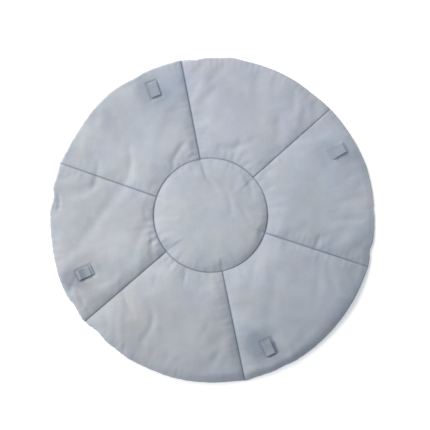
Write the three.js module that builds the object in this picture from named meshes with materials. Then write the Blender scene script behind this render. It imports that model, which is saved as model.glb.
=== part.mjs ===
// A round, padded and quilted play gym mat with four folded fabric straps.
// Six wedge panels surround a centre disc. Straight seams part the panels, and a round seam holds the disc.
// Units are millimetres. The mat lies on z = 0, with its middle at the origin.

import * as THREE from 'three';

const { clamp, degToRad, euclideanModulo, lerp, radToDeg, smoothstep } = THREE.MathUtils;

// Driving sizes of the filled mat
const MAT_RADIUS = 499;
const CROWN_HEIGHT = 22;
const SEAM_HEIGHT = 6;
const SEAM_ROLL_WIDTH = 42;
const RIM_ROLL_WIDTH = 46;
const DISC = { x: -5, y: 15, radius: 175 };

// The underside lies flat, lifts to the rim seam and has a shallow groove under each inner seam
const UNDER_LIFT_WIDTH = 18;
const UNDER_GROOVE_DEPTH = 1.5;
const UNDER_GROOVE_WIDTH = 14;

// Sizes of a folded strap, which lies in a shallow seat pressed into the mat
const STRAP_WIDTH = 29;
const STRAP_LENGTH = 48;
const STRAP_FREE_END_SETBACK = 8;
const STRAP_LAYER = 1.8;
const STRAP_LAYER_GAP = 0.6;
const STRAP_EDGE_BEVEL = 0.4;
const STRAP_FOLD_STEPS = 8;
const STRAP_CLEARANCE = 0.3;
const SEAT_DEPTH = 3.2;
const SEAT_MARGIN = 15;
const SEAT_RAMP = 24;

// Each radial seam runs straight from its angle on the disc to its angle on the rim, in degrees
const SEAMS = [
  { discAngle: 41.6, rimAngle: 43.3 },
  { discAngle: 100.4, rimAngle: 101 },
  { discAngle: 161, rimAngle: 159.4 },
  { discAngle: 219.4, rimAngle: 218.5 },
  { discAngle: 281.9, rimAngle: 281.5 },
  { discAngle: 342.1, rimAngle: 343.4 },
];

// Where the filling swells the rim (positive rise) or the stitching draws it in (negative rise)
const RIM_BUMPS = [
  { angle: 20, rise: 3, spread: 9 },
  { angle: 52, rise: -3, spread: 6 },
  { angle: 83, rise: 3.5, spread: 3 },
  { angle: 95.5, rise: -3, spread: 3 },
  { angle: 119, rise: -3, spread: 3 },
  { angle: 128, rise: 2, spread: 4 },
  { angle: 148, rise: -6, spread: 9 },
  { angle: 164, rise: -4, spread: 3 },
  { angle: 172, rise: -8, spread: 3 },
  { angle: 184, rise: -3, spread: 9 },
  { angle: 204, rise: 3, spread: 6 },
  { angle: 212, rise: -2, spread: 3 },
  { angle: 224, rise: -7, spread: 4 },
  { angle: 232, rise: -5, spread: 5 },
  { angle: 246, rise: -3, spread: 8 },
  { angle: 281, rise: 2, spread: 3 },
  { angle: 300, rise: 4, spread: 15 },
  { angle: 349, rise: -5, spread: 2 },
];

// Creases and swells of the cover: troughs have a negative height and ridges a positive one
const FOLDS = [
  // Panel at the upper left
  { from: [-96, 246], through: [-124, 196], to: [-115, 154], halfWidth: 12, height: -4.5 },
  { from: [-100, 306], through: [-148, 270], to: [-162, 222], halfWidth: 14, height: -2.5 },
  { from: [-130, 352], through: [-182, 235], to: [-174, 130], halfWidth: 18, height: 1.5 },
  { from: [-254, 222], through: [-250, 160], to: [-266, 118], halfWidth: 14, height: -3 },
  { from: [-394, 280], through: [-392, 220], to: [-394, 168], halfWidth: 18, height: 1.5 },
  { from: [-350, 176], through: [-353, 140], to: [-364, 102], halfWidth: 12, height: -2.5 },
  // Panel at the left
  { from: [-272, 100], through: [-326, 34], to: [-414, -84], halfWidth: 16, height: -4.5 },
  { from: [-188, -2], through: [-222, -48], to: [-240, -120], halfWidth: 14, height: -3 },
  { from: [-174, -54], through: [-188, -80], to: [-180, -120], halfWidth: 11, height: -2.5 },
  { from: [-410, -166], through: [-424, -190], to: [-434, -218], halfWidth: 12, height: -3 },
  { from: [-382, -202], through: [-340, -192], to: [-296, -166], halfWidth: 16, height: -2 },
  { from: [-472, 74], through: [-468, 54], to: [-470, 34], halfWidth: 9, height: -3 },
  // Panel at the bottom left
  { from: [-274, -218], through: [-262, -254], to: [-240, -290], halfWidth: 14, height: -3.5 },
  { from: [-198, -250], through: [-182, -306], to: [-214, -364], halfWidth: 15, height: -3 },
  { from: [-290, -264], through: [-298, -314], to: [-294, -380], halfWidth: 16, height: -2 },
  { from: [-78, -150], through: [-84, -172], to: [-88, -196], halfWidth: 10, height: -2.5 },
  { from: [-62, -400], through: [-16, -312], to: [6, -220], halfWidth: 24, height: 1.5 },
  // Panel at the bottom right
  { from: [200, -162], through: [186, -230], to: [174, -320], halfWidth: 17, height: -4 },
  { from: [320, -100], through: [326, -160], to: [320, -244], halfWidth: 16, height: -3.5 },
  { from: [138, -118], through: [126, -160], to: [116, -214], halfWidth: 14, height: -2 },
  // Panel at the right
  { from: [326, -54], through: [320, -74], to: [312, -90], halfWidth: 12, height: -2.5 },
  { from: [410, 30], through: [384, -28], to: [356, -74], halfWidth: 20, height: 1.5 },
  // Panel at the top right
  { from: [140, 392], through: [144, 324], to: [138, 242], halfWidth: 17, height: -3 },
  { from: [24, 222], through: [72, 224], to: [122, 244], halfWidth: 15, height: -2 },
  // Centre disc
  { from: [-34, 184], through: [-24, 146], to: [12, 96], halfWidth: 13, height: -3 },
  { from: [30, 104], through: [52, 68], to: [58, 18], halfWidth: 12, height: -2.5 },
  { from: [18, 124], through: [66, 56], to: [104, -14], halfWidth: 18, height: 1.5 },
  { from: [96, 144], through: [114, 112], to: [122, 74], halfWidth: 12, height: -2.5 },
];
const FOLD_STEPS = 12;

// Centre of each strap, the direction in which its fold points, in degrees, and how far its free end stands up
const STRAPS = [
  { name: 'strap_upper_left', x: -178, y: 400, direction: 110, lift: 0.8 },
  { name: 'strap_upper_right', x: 384, y: 211, direction: 31, lift: 0.6 },
  { name: 'strap_lower_left', x: -390, y: -160, direction: 204, lift: 0.4 },
  { name: 'strap_lower_right', x: 171, y: -390, direction: 295, lift: 1.4 },
];

// Rings of the mesh. Each has as many columns as the ring inside it, or twice as many.
const DISC_RINGS = [
  { reach: 0, columns: 1 },
  { reach: 0.12, columns: 21 },
  { reach: 0.25, columns: 42 },
  { reach: 0.38, columns: 42 },
  { reach: 0.52, columns: 84 },
  { reach: 0.65, columns: 84 },
  { reach: 0.77, columns: 84 },
  { reach: 0.87, columns: 84 },
  { reach: 0.95, columns: 84 },
];
const UNDER_DISC_RINGS = [
  { reach: 0, columns: 1 },
  { reach: 0.3, columns: 21 },
  { reach: 0.6, columns: 42 },
  { reach: 1 - UNDER_GROOVE_WIDTH / DISC.radius, columns: 84 },
  { reach: 1, columns: 84 },
];
const UNDER_RIM_RINGS = [
  { inset: UNDER_LIFT_WIDTH, columns: 84 },
  { inset: 8, columns: 168 },
  { inset: 3, columns: 168 },
];
const PANEL_RINGS = 24;
const INNER_PANEL_COLUMNS = 84;
const OUTER_PANEL_COLUMNS = 168;
const OUTER_PANEL_START = 0.38;
const COLUMN_CROWDING = 0.5;
const RING_CROWDING = 0.65;

const fabric = new THREE.MeshStandardMaterial({ color: 0xb0b8c4, roughness: 0.92, metalness: 0 });

function polar(angle, radius) {
  return new THREE.Vector2(radius * Math.cos(degToRad(angle)), radius * Math.sin(degToRad(angle)));
}

// Radius of the rim at an angle, with its swells and its drawn-in places
function rimRadius(angle) {
  let radius = MAT_RADIUS;
  for (const bump of RIM_BUMPS) {
    const offset = euclideanModulo(angle - bump.angle + 180, 360) - 180;
    radius += bump.rise * Math.exp(-((offset / bump.spread) ** 2));
  }
  return radius;
}

// The two ends of a line from the disc's seam out to the rim
function spokeAtAngles(discAngle, rimAngle) {
  const inner = polar(discAngle, DISC.radius).add(new THREE.Vector2(DISC.x, DISC.y));
  const outer = polar(rimAngle, rimRadius(rimAngle));
  return { inner, outer };
}

// A position around the mat counts seams: 0 is the first seam, and 0.5 is the middle of the first panel
function spokeAt(position) {
  const index = Math.floor(position);
  const here = SEAMS[index];
  const next = SEAMS[(index + 1) % SEAMS.length];
  const wholeTurn = index + 1 === SEAMS.length ? 360 : 0;
  const blend = position - index;
  return spokeAtAngles(
    lerp(here.discAngle, next.discAngle + wholeTurn, blend),
    lerp(here.rimAngle, next.rimAngle + wholeTurn, blend),
  );
}

const seamLines = SEAMS.map((seam) => spokeAtAngles(seam.discAngle, seam.rimAngle));

function distanceToLine(point, start, end) {
  const along = end.clone().sub(start);
  const share = clamp(point.clone().sub(start).dot(along) / along.lengthSq(), 0, 1);
  return along.multiplyScalar(share).add(start).distanceTo(point);
}

function distanceToDiscSeam(point) {
  return Math.abs(Math.hypot(point.x - DISC.x, point.y - DISC.y) - DISC.radius);
}

function distanceToRim(point) {
  return Math.max(rimRadius(radToDeg(Math.atan2(point.y, point.x))) - point.length(), 0);
}

function distanceToNearestSeam(point) {
  const toSeams = seamLines.map((line) => distanceToLine(point, line.inner, line.outer));
  return Math.min(...toSeams, distanceToDiscSeam(point));
}

// The filling rolls up from a seam as a quarter ellipse, from 0 at the seam to 1 at the width of the roll
function roll(distance, width) {
  return Math.sqrt(1 - (1 - Math.min(distance / width, 1)) ** 2);
}

function fullness(point) {
  let share = roll(distanceToRim(point), RIM_ROLL_WIDTH) * roll(distanceToDiscSeam(point), SEAM_ROLL_WIDTH);
  for (const line of seamLines) {
    share *= roll(distanceToLine(point, line.inner, line.outer), SEAM_ROLL_WIDTH);
  }
  return share;
}

// Points along each crease or swell, on a smooth curve through its three places
const foldPaths = FOLDS.map((fold) => {
  const places = [fold.from, fold.through, fold.to].map(([x, y]) => new THREE.Vector2(x, y));
  return { ...fold, points: new THREE.SplineCurve(places).getPoints(FOLD_STEPS) };
});

function foldHeight(point) {
  let height = 0;
  for (const fold of foldPaths) {
    const distance = Math.min(...fold.points.map((place) => place.distanceTo(point)));
    height += fold.height * Math.exp(-((distance / fold.halfWidth) ** 2));
  }
  return height;
}

// 1 on the flat seat under a strap, and 0 beyond the ramp around it
function seatShare(point) {
  let share = 0;
  for (const strap of STRAPS) {
    const local = point.clone().sub(new THREE.Vector2(strap.x, strap.y));
    local.rotateAround(new THREE.Vector2(), -degToRad(strap.direction));
    const outsideX = Math.max(Math.abs(local.x) - STRAP_LENGTH / 2 - SEAT_MARGIN, 0);
    const outsideY = Math.max(Math.abs(local.y) - STRAP_WIDTH / 2 - SEAT_MARGIN, 0);
    share = Math.max(share, 1 - smoothstep(Math.hypot(outsideX, outsideY), 0, SEAT_RAMP));
  }
  return share;
}

function topHeight(point) {
  const padded = SEAM_HEIGHT + (CROWN_HEIGHT - SEAM_HEIGHT + foldHeight(point)) * fullness(point);
  return lerp(padded, CROWN_HEIGHT - SEAT_DEPTH, seatShare(point));
}

function underHeight(point) {
  const lift = SEAM_HEIGHT * (1 - roll(distanceToRim(point), UNDER_LIFT_WIDTH));
  const groove = UNDER_GROOVE_DEPTH * Math.max(1 - distanceToNearestSeam(point) / UNDER_GROOVE_WIDTH, 0);
  return Math.max(lift, groove);
}

// Spreads even steps from 0 to 1 so that they crowd towards both ends
function crowded(share, crowding) {
  return share - (crowding * Math.sin(2 * Math.PI * share)) / (2 * Math.PI);
}

// Position around the mat of one column of a ring, with columns closer together beside the seams
function columnPosition(index, columns) {
  const position = (index * SEAMS.length) / columns;
  const panel = Math.floor(position);
  return panel + crowded(position - panel, COLUMN_CROWDING);
}

function addRing(mesh, columns, place, height) {
  const start = mesh.vertices.length;
  for (let index = 0; index < columns; index += 1) {
    const point = place(spokeAt(columnPosition(index, columns)));
    mesh.vertices.push(new THREE.Vector3(point.x, point.y, height(point)));
  }
  return { start, columns };
}

// Joins a ring to the one outside it: to as many columns or twice as many, or to a centre point
function joinRings(mesh, inner, outer, facesUp) {
  const addTriangle = (a, b, c) => mesh.triangles.push(...(facesUp ? [a, b, c] : [a, c, b]));
  if (inner.columns === 1) {
    for (let index = 0; index < outer.columns; index += 1) {
      addTriangle(inner.start, outer.start + index, outer.start + ((index + 1) % outer.columns));
    }
    return;
  }
  const step = outer.columns / inner.columns;
  for (let index = 0; index < inner.columns; index += 1) {
    const innerHere = inner.start + index;
    const innerNext = inner.start + ((index + 1) % inner.columns);
    const outerHere = outer.start + index * step;
    const outerMiddle = outerHere + 1;
    const outerNext = outer.start + ((index + 1) * step) % outer.columns;
    if (step === 1) {
      addTriangle(innerHere, outerHere, outerNext);
      addTriangle(innerHere, outerNext, innerNext);
    } else {
      addTriangle(innerHere, outerHere, outerMiddle);
      addTriangle(innerHere, outerMiddle, innerNext);
      addTriangle(innerNext, outerMiddle, outerNext);
    }
  }
}

const onDisc = (reach) => (spoke) => new THREE.Vector2(DISC.x, DISC.y).lerp(spoke.inner, reach);
const onPanel = (reach) => (spoke) => spoke.inner.clone().lerp(spoke.outer, reach);
const insideRim = (inset) => (spoke) => {
  return spoke.outer.clone().lerp(spoke.inner, inset / spoke.outer.distanceTo(spoke.inner));
};

function joinAll(mesh, rings, facesUp) {
  for (let index = 1; index < rings.length; index += 1) {
    joinRings(mesh, rings[index - 1], rings[index], facesUp);
  }
}

// One closed skin: the padded top from the disc's centre out to the rim, and the underside back in
function matGeometry() {
  const mesh = { vertices: [], triangles: [] };

  const topRings = DISC_RINGS.map((ring) => addRing(mesh, ring.columns, onDisc(ring.reach), topHeight));
  for (let ring = 0; ring < PANEL_RINGS; ring += 1) {
    const reach = crowded(ring / PANEL_RINGS, RING_CROWDING);
    const columns = reach < OUTER_PANEL_START ? INNER_PANEL_COLUMNS : OUTER_PANEL_COLUMNS;
    topRings.push(addRing(mesh, columns, onPanel(reach), topHeight));
  }
  const rim = addRing(mesh, OUTER_PANEL_COLUMNS, onPanel(1), () => SEAM_HEIGHT);
  joinAll(mesh, [...topRings, rim], true);

  const underRings = UNDER_DISC_RINGS.map((ring) => {
    return addRing(mesh, ring.columns, onDisc(ring.reach), underHeight);
  });
  const beyondGroove = (spoke) => {
    return spoke.inner.clone().lerp(spoke.outer, UNDER_GROOVE_WIDTH / spoke.outer.distanceTo(spoke.inner));
  };
  underRings.push(addRing(mesh, INNER_PANEL_COLUMNS, beyondGroove, underHeight));
  for (const ring of UNDER_RIM_RINGS) {
    underRings.push(addRing(mesh, ring.columns, insideRim(ring.inset), underHeight));
  }
  joinAll(mesh, [...underRings, rim], false);

  const geometry = new THREE.BufferGeometry();
  geometry.setFromPoints(mesh.vertices);
  geometry.setIndex(mesh.triangles);
  geometry.computeVertexNormals();
  return geometry;
}

// Section of the folded strap: the lower layer out to the fold, and the upper layer back to its free end
function strapSection(lift) {
  const foldRadius = STRAP_LAYER + STRAP_LAYER_GAP / 2;
  const foldX = STRAP_LENGTH / 2 - foldRadius;
  const sewnEndX = -STRAP_LENGTH / 2;
  const freeEndX = sewnEndX + STRAP_FREE_END_SETBACK;
  const upperBottom = STRAP_LAYER + STRAP_LAYER_GAP;
  const upperTop = 2 * foldRadius;

  const section = new THREE.Shape();
  section.moveTo(sewnEndX, 0);
  section.lineTo(foldX, 0);
  section.absarc(foldX, foldRadius, foldRadius, -Math.PI / 2, Math.PI / 2, false);
  section.lineTo(0, upperTop);
  section.lineTo(freeEndX, upperTop + lift);
  section.lineTo(freeEndX, upperBottom + lift);
  section.lineTo(0, upperBottom);
  section.lineTo(foldX, upperBottom);
  section.absarc(foldX, foldRadius, STRAP_LAYER_GAP / 2, Math.PI / 2, -Math.PI / 2, true);
  section.lineTo(sewnEndX, STRAP_LAYER);
  section.closePath();
  return section;
}

function strapMesh(strap) {
  const geometry = new THREE.ExtrudeGeometry(strapSection(strap.lift), {
    depth: STRAP_WIDTH - 2 * STRAP_EDGE_BEVEL,
    curveSegments: STRAP_FOLD_STEPS,
    bevelThickness: STRAP_EDGE_BEVEL,
    bevelSize: STRAP_EDGE_BEVEL,
    bevelOffset: -STRAP_EDGE_BEVEL,
    bevelSegments: 1,
  });
  geometry.translate(0, 0, STRAP_EDGE_BEVEL - STRAP_WIDTH / 2);
  geometry.rotateX(Math.PI / 2);

  const mesh = new THREE.Mesh(geometry, fabric);
  mesh.name = strap.name;
  mesh.position.set(strap.x, strap.y, CROWN_HEIGHT - SEAT_DEPTH + STRAP_CLEARANCE);
  mesh.rotation.z = degToRad(strap.direction);
  return mesh;
}

const mat = new THREE.Mesh(matGeometry(), fabric);
mat.name = 'padded_mat';

const playMat = new THREE.Group();
playMat.name = 'play_gym_mat';
playMat.add(mat);
for (const strap of STRAPS) {
  playMat.add(strapMesh(strap));
}

// The rim is uneven, so the whole is moved until its outline is centred on the origin
const middle = new THREE.Box3().setFromObject(playMat).getCenter(new THREE.Vector3());
playMat.position.set(-middle.x, -middle.y, 0);

export default playMat;
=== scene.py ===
# %% [markdown]
# # A padded play mat for a baby gym
#
# The mat is round, about a metre across, and sewn from pale blue-grey cotton. Six wedge panels surround a
# centre disc, and each is padded, so the cloth rises from the seams like bread from the cuts in its crust.
# Four small folded straps sit near the rim. This lesson builds the mat as surfaces worked out with numpy,
# lets Blender's cloth solver crumple the cover, and finishes with thread, straps, cotton, light and camera.
#
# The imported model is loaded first. It fixes every size, and the pieces made here take its place.

# %% Load the frame
from typing import NamedTuple

import bmesh
import bpy
import numpy as np
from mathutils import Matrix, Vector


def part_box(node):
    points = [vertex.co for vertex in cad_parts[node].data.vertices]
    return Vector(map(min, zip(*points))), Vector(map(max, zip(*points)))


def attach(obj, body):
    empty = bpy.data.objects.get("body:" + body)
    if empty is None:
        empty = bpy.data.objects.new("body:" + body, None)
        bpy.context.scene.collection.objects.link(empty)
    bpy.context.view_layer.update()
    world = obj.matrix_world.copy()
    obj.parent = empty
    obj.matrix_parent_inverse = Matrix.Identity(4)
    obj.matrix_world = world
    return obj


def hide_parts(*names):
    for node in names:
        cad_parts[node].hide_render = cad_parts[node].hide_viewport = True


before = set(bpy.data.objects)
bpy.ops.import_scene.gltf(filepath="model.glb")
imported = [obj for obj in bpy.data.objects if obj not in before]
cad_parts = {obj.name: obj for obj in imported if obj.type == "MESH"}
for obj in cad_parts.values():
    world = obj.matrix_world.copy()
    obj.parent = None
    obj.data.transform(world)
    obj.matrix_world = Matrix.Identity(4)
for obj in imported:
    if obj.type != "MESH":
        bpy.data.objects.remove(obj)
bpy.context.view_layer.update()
print("frame nodes:", sorted(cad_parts))

# %% [markdown]
# ## The driving sizes
#
# A maker would cut this mat from a handful of measurements: how wide it is, how big the disc is, where each
# seam runs and how thick the wadding lies. The same measurements shape the surface here. Blender works in
# metres, so millimetres are multiplied by MM.

# %% Sizes of the mat
MM = 0.001

MAT_RADIUS = 499 * MM
CROWN_HEIGHT = 25 * MM
SEAM_HEIGHT = 6 * MM
RIM_HEIGHT = 3 * MM
RIM_FALL_WIDTH = 24 * MM
DISC_CENTRE = np.array([-5, 15]) * MM
DISC_RADIUS = 175 * MM

CREASE_WIDTH = 5 * MM
DOME_WIDTH = 150 * MM
SLOPE_POWER = 0.8
CREASE_SHARE = 0.03
DOME_SHARE = 0.34
VALLEY_DEPTH = 0.6 * MM
VALLEY_HALF_WIDTH = 2.6 * MM

UNDER_LIFT_WIDTH = 18 * MM
UNDER_GROOVE_DEPTH = 1.5 * MM
UNDER_GROOVE_WIDTH = 14 * MM

# Each radial seam starts at an angle on the disc's seam and ends at an angle on the rim
SEAM_DISC_ANGLES = np.radians([41.6, 100.4, 161.0, 219.4, 281.9, 342.1])
SEAM_RIM_ANGLES = np.radians([43.3, 101.0, 159.4, 218.5, 281.5, 343.4])
PANELS = len(SEAM_DISC_ANGLES)
print("the mat is", round(2 * MAT_RADIUS / MM), "mm across and its disc", round(2 * DISC_RADIUS / MM), "mm")

# %% [markdown]
# ## A rim that was sewn by hand
#
# A turned-in rim never runs in a true circle. It swells where the wadding is full and tucks in where the
# seam was drawn tight, and between its stitches the cloth bulges in small scallops. The swells and tucks are
# few and each has a place, so they stand in a list. The scallops are many and alike, so waves make them.


# %% Swells, tucks and scallops of the rim
class Bump(NamedTuple):
    """One swell of the rim, or with a negative rise one tuck: angle and spread in degrees, rise in mm."""

    angle: float
    rise: float
    spread: float


RIM_BUMPS = [
    Bump(4, -2, 1.5),
    Bump(20, 3, 9),
    Bump(52, -3, 6),
    Bump(83, 3.5, 3),
    Bump(96, -3.6, 2.6),
    Bump(102, 1.6, 1.8),
    Bump(119, -3, 3),
    Bump(128, 2, 4),
    Bump(148, -6, 9),
    Bump(154, -2, 2),
    Bump(164, -4, 3),
    Bump(172, -8, 3),
    Bump(184, -3, 9),
    Bump(204, 3, 6),
    Bump(212, -3.4, 2),
    Bump(218, 2, 2),
    Bump(224, -9, 3.4),
    Bump(232, -5, 5),
    Bump(246, -3, 8),
    Bump(282, 4, 2.4),
    Bump(296, -2.4, 2.4),
    Bump(300, 2.6, 15),
    Bump(343, 1.6, 2),
    Bump(349, -6, 2),
]


class Scallop(NamedTuple):
    """The scallops near one angle in degrees: their height, and how far they carry the rim out, in mm."""

    angle: float
    height: float
    reach: float


SCALLOPS = [
    Scallop(0, 1.0, 0.2),
    Scallop(60, 0.8, 0.3),
    Scallop(90, 1.2, 1.0),
    Scallop(120, 1.6, 2.0),
    Scallop(150, 2.4, 2.6),
    Scallop(180, 2.6, 2.4),
    Scallop(205, 3.8, 1.8),
    Scallop(240, 2.4, 0.3),
    Scallop(275, 1.8, 0.2),
    Scallop(300, 1.6, 0.2),
    Scallop(330, 0.8, 0.2),
]
SCALLOP_COUNTS = np.array([41, 67, 97, 23])
scallop_starts = np.random.default_rng(11).random(len(SCALLOP_COUNTS)) * np.pi
print("the rim has", len(RIM_BUMPS), "swells and tucks")

# %% [markdown]
# ## How hard the thread pulls
#
# No seam is sewn quite like the next one. Where the thread is drawn tight it pulls the padding down deeply,
# and elsewhere the cloth hardly dips. Tables give this pull and how wide the padding slopes on either side of
# a seam. The rim has a table of its own: on the side away from the window it turns over in a wide slope, and
# on the other side in a tight roll, as a cushion does where it is packed hard.


# %% The pull of each seam
class Pull(NamedTuple):
    """How a radial seam pulls the padding: its depth from 0 to 1, then how wide the padding slopes on its
    clockwise and on its anticlockwise side, in mm."""

    depth: float
    clockwise: float
    anticlockwise: float


SEAM_PULLS = [
    Pull(0.28, 90, 32),
    Pull(0.5, 100, 30),
    Pull(0.3, 70, 30),
    Pull(0.7, 40, 90),
    Pull(0.65, 34, 50),
    Pull(0.45, 30, 34),
]


class DiscPull(NamedTuple):
    """The same for the disc's seam at one angle in degrees: depth, width inside and width outside."""

    angle: float
    depth: float
    inside: float
    outside: float


DISC_PULLS = [
    DiscPull(0, 0.42, 24, 36),
    DiscPull(30, 0.3, 50, 34),
    DiscPull(60, 0.35, 40, 30),
    DiscPull(90, 0.2, 80, 40),
    DiscPull(120, 0.22, 110, 44),
    DiscPull(150, 0.42, 120, 46),
    DiscPull(180, 0.48, 90, 38),
    DiscPull(210, 0.5, 50, 28),
    DiscPull(240, 0.5, 50, 30),
    DiscPull(270, 0.68, 52, 90),
    DiscPull(300, 0.72, 50, 110),
    DiscPull(330, 0.62, 30, 70),
]


class RimShape(NamedTuple):
    """The rim at one angle in degrees: the share of its height that a sharp roll takes, the roll's width and
    the width of the dome behind it, in mm, and the dome's power, which is lower for a steeper start."""

    angle: float
    sharp: float
    roll: float
    dome: float
    power: float


RIM_SHAPES = [
    RimShape(0, 0.08, 3, 220, 1),
    RimShape(30, 0.15, 3, 200, 1),
    RimShape(60, 0.6, 3, 80, 0.8),
    RimShape(90, 0.93, 6, 60, 0.8),
    RimShape(150, 0.93, 6, 60, 0.8),
    RimShape(180, 0.85, 6, 60, 0.8),
    RimShape(215, 0.7, 5, 60, 0.8),
    RimShape(240, 0.42, 5, 46, 0.9),
    RimShape(270, 0.25, 5, 32, 1),
    RimShape(300, 0.15, 5, 30, 0.9),
    RimShape(330, 0.5, 4, 60, 0.9),
]
print("the seams pull", [pull.depth for pull in SEAM_PULLS], "of the padding's height")

# %% [markdown]
# ## Two numbers for every point
#
# Each place on the mat is given by two numbers. `position` counts seams around the mat: 0 is the first seam,
# 0.5 the middle of the first panel. `reach` grows outwards: 0 is the middle of the disc, 1 its seam and 2 the
# rim. Grids in these numbers follow the seams exactly, so a seam is always a clean row of vertices.


# %% From position and reach to x and y
def direction(angle):
    """Unit vectors that point along angles."""
    return np.stack([np.cos(angle), np.sin(angle)], axis=-1)


def bearing(points):
    """The angle of each point, seen from the origin."""
    return np.arctan2(points[..., 1], points[..., 0])


def bell_curves(angle, bumps):
    """The sum of one bell curve for each bump, in metres."""
    angles, rises, spreads = np.array(bumps).T
    offset = (np.degrees(angle)[..., None] - angles + 180) % 360 - 180
    return (rises * np.exp(-((offset / spreads) ** 2))).sum(axis=-1) * MM


def around(angle, table):
    """The columns of a table after its first one, read between the rows at angles around the circle."""
    rows = np.array(table)
    return [np.interp(np.degrees(angle), rows[:, 0], column, period=360) for column in rows[:, 1:].T]


def scallops(angle):
    """Bulges between the stitches of the rim: the mean of |sin| waves of several lengths, less 2/pi, which is
    their own mean, times the height from the table, plus the reach."""
    height, reach = around(angle, SCALLOPS)
    waves = np.abs(np.sin(angle[..., None] * SCALLOP_COUNTS + scallop_starts)).mean(axis=-1)
    return (reach + height * (waves - 2 / np.pi)) * MM


def rim_radius(angle):
    """The mean radius of the rim plus its swells and tucks and the bulges between its stitches."""
    return MAT_RADIUS + bell_curves(angle, RIM_BUMPS) + scallops(np.asarray(angle))


def spokes(position):
    """The ends of straight lines from the disc's seam to the rim, shared out evenly between two seams."""
    turns = np.arange(PANELS + 1)
    disc_angle = np.interp(position, turns, [*SEAM_DISC_ANGLES, SEAM_DISC_ANGLES[0] + 2 * np.pi])
    rim_angle = np.interp(position, turns, [*SEAM_RIM_ANGLES, SEAM_RIM_ANGLES[0] + 2 * np.pi])
    inner = DISC_CENTRE + DISC_RADIUS * direction(disc_angle)
    outer = rim_radius(rim_angle)[..., None] * direction(rim_angle)
    return inner, outer


def place(position, reach):
    """Straight from the disc's middle to its seam for a reach of 0 to 1, then on to the rim up to 2."""
    inner, outer = spokes(position)
    share = reach[..., None]
    on_disc = DISC_CENTRE + share * (inner - DISC_CENTRE)
    on_panel = inner + (share - 1) * (outer - inner)
    return np.where(share <= 1, on_disc, on_panel)


all_round = np.linspace(0, 2 * np.pi, 3600)
outline = rim_radius(all_round)[:, None] * direction(all_round)
mat_low, mat_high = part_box("padded_mat")
CAD_MIDDLE = (np.array(mat_low) + np.array(mat_high))[:2] / 2
SHIFT = CAD_MIDDLE - (outline.min(axis=0) + outline.max(axis=0)) / 2
print("the outline is moved by", np.round(SHIFT / MM, 2), "mm to lie centred on the frame")

# %% [markdown]
# ## How the padding rises
#
# Wadding is squeezed flat under a seam and springs back a few centimetres away. Three profiles describe it,
# each 0 on the seam and 1 at its own width. The roll is a quarter ellipse, which leaves the seam steeply and
# makes the crisp crease beside the stitches. The dome is a parabola, which levels out softly, and the slope
# is the same parabola with a steeper start. Slopes and domes are multiplied over all seams, which rounds the
# corners of a panel without special cases, and the broad dome makes it fullest in its middle.


# %% Distances to the seams
def distance_to_line(points, start, end):
    """Distance to the nearest point of a straight line between two ends."""
    along = end - start
    share = np.clip((points - start) @ along / (along @ along), 0, 1)
    return np.linalg.norm(points - (start + share[..., None] * along), axis=-1)


def distance_to_disc_seam(points):
    """Distance to the circle of the disc's seam."""
    return np.abs(np.linalg.norm(points - DISC_CENTRE, axis=-1) - DISC_RADIUS)


def distance_to_rim(points):
    """Distance along the radius to the rim, and 0 beyond it."""
    return np.maximum(rim_radius(bearing(points)) - np.linalg.norm(points, axis=-1), 0)


seam_starts, seam_ends = spokes(np.arange(PANELS) * 1.0)


def seam_distances(points):
    """One row of distances for each radial seam."""
    return np.stack([distance_to_line(points, a, b) for a, b in zip(seam_starts, seam_ends)])


print("the radial seams are", np.round(np.linalg.norm(seam_ends - seam_starts, axis=1) / MM), "mm long")


# %% The profiles: smooth step, roll, dome and slope
def smooth(share):
    """The soft step 3x^2 - 2x^3, held between 0 and 1."""
    x = np.clip(share, 0, 1)
    return x * x * (3 - 2 * x)


def roll(distance, width):
    """A quarter ellipse: 0 at the seam, 1 at the given width and beyond."""
    return np.sqrt(1 - (1 - np.minimum(distance / width, 1)) ** 2)


def dome(distance, width):
    """A parabola: 0 at the seam, 1 at the given width and beyond."""
    return 1 - (1 - np.minimum(distance / width, 1)) ** 2


def slope(distance, width):
    """The dome's parabola to a power below 1, which leaves the seam more steeply."""
    return dome(distance, width) ** SLOPE_POWER


# %% How full the padding stands
SIDE_BLEND = 5 * MM


def between_sides(signed, first, second):
    """The first width on the negative side of a line and the second on the other, blended across it and
    turned from mm into metres."""
    return (first + (second - first) * smooth(0.5 + signed / (2 * SIDE_BLEND))) * MM


def seam_pulls(points):
    """For the disc's seam and each radial seam: distance, depth and slope width at every point."""
    offset = points - DISC_CENTRE
    signed = np.linalg.norm(offset, axis=-1) - DISC_RADIUS
    depth, inside, outside = around(bearing(offset), DISC_PULLS)
    yield np.abs(signed), depth, between_sides(signed, inside, outside)
    for start, end, pull in zip(seam_starts, seam_ends, SEAM_PULLS):
        along = (end - start) / np.linalg.norm(end - start)
        signed = (points - start) @ np.array([-along[1], along[0]])
        width = between_sides(signed, pull.clockwise, pull.anticlockwise)
        yield distance_to_line(points, start, end), pull.depth, width


def rim_share(points):
    """How far the padding has risen from the rim: a sharp roll and a soft dome raised to a power, mixed by
    the rim's table."""
    sharp, roll_width, dome_width, power = around(bearing(points), RIM_SHAPES)
    to_rim = distance_to_rim(points)
    return sharp * roll(to_rim, roll_width * MM) + (1 - sharp) * dome(to_rim, dome_width * MM) ** power


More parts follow.
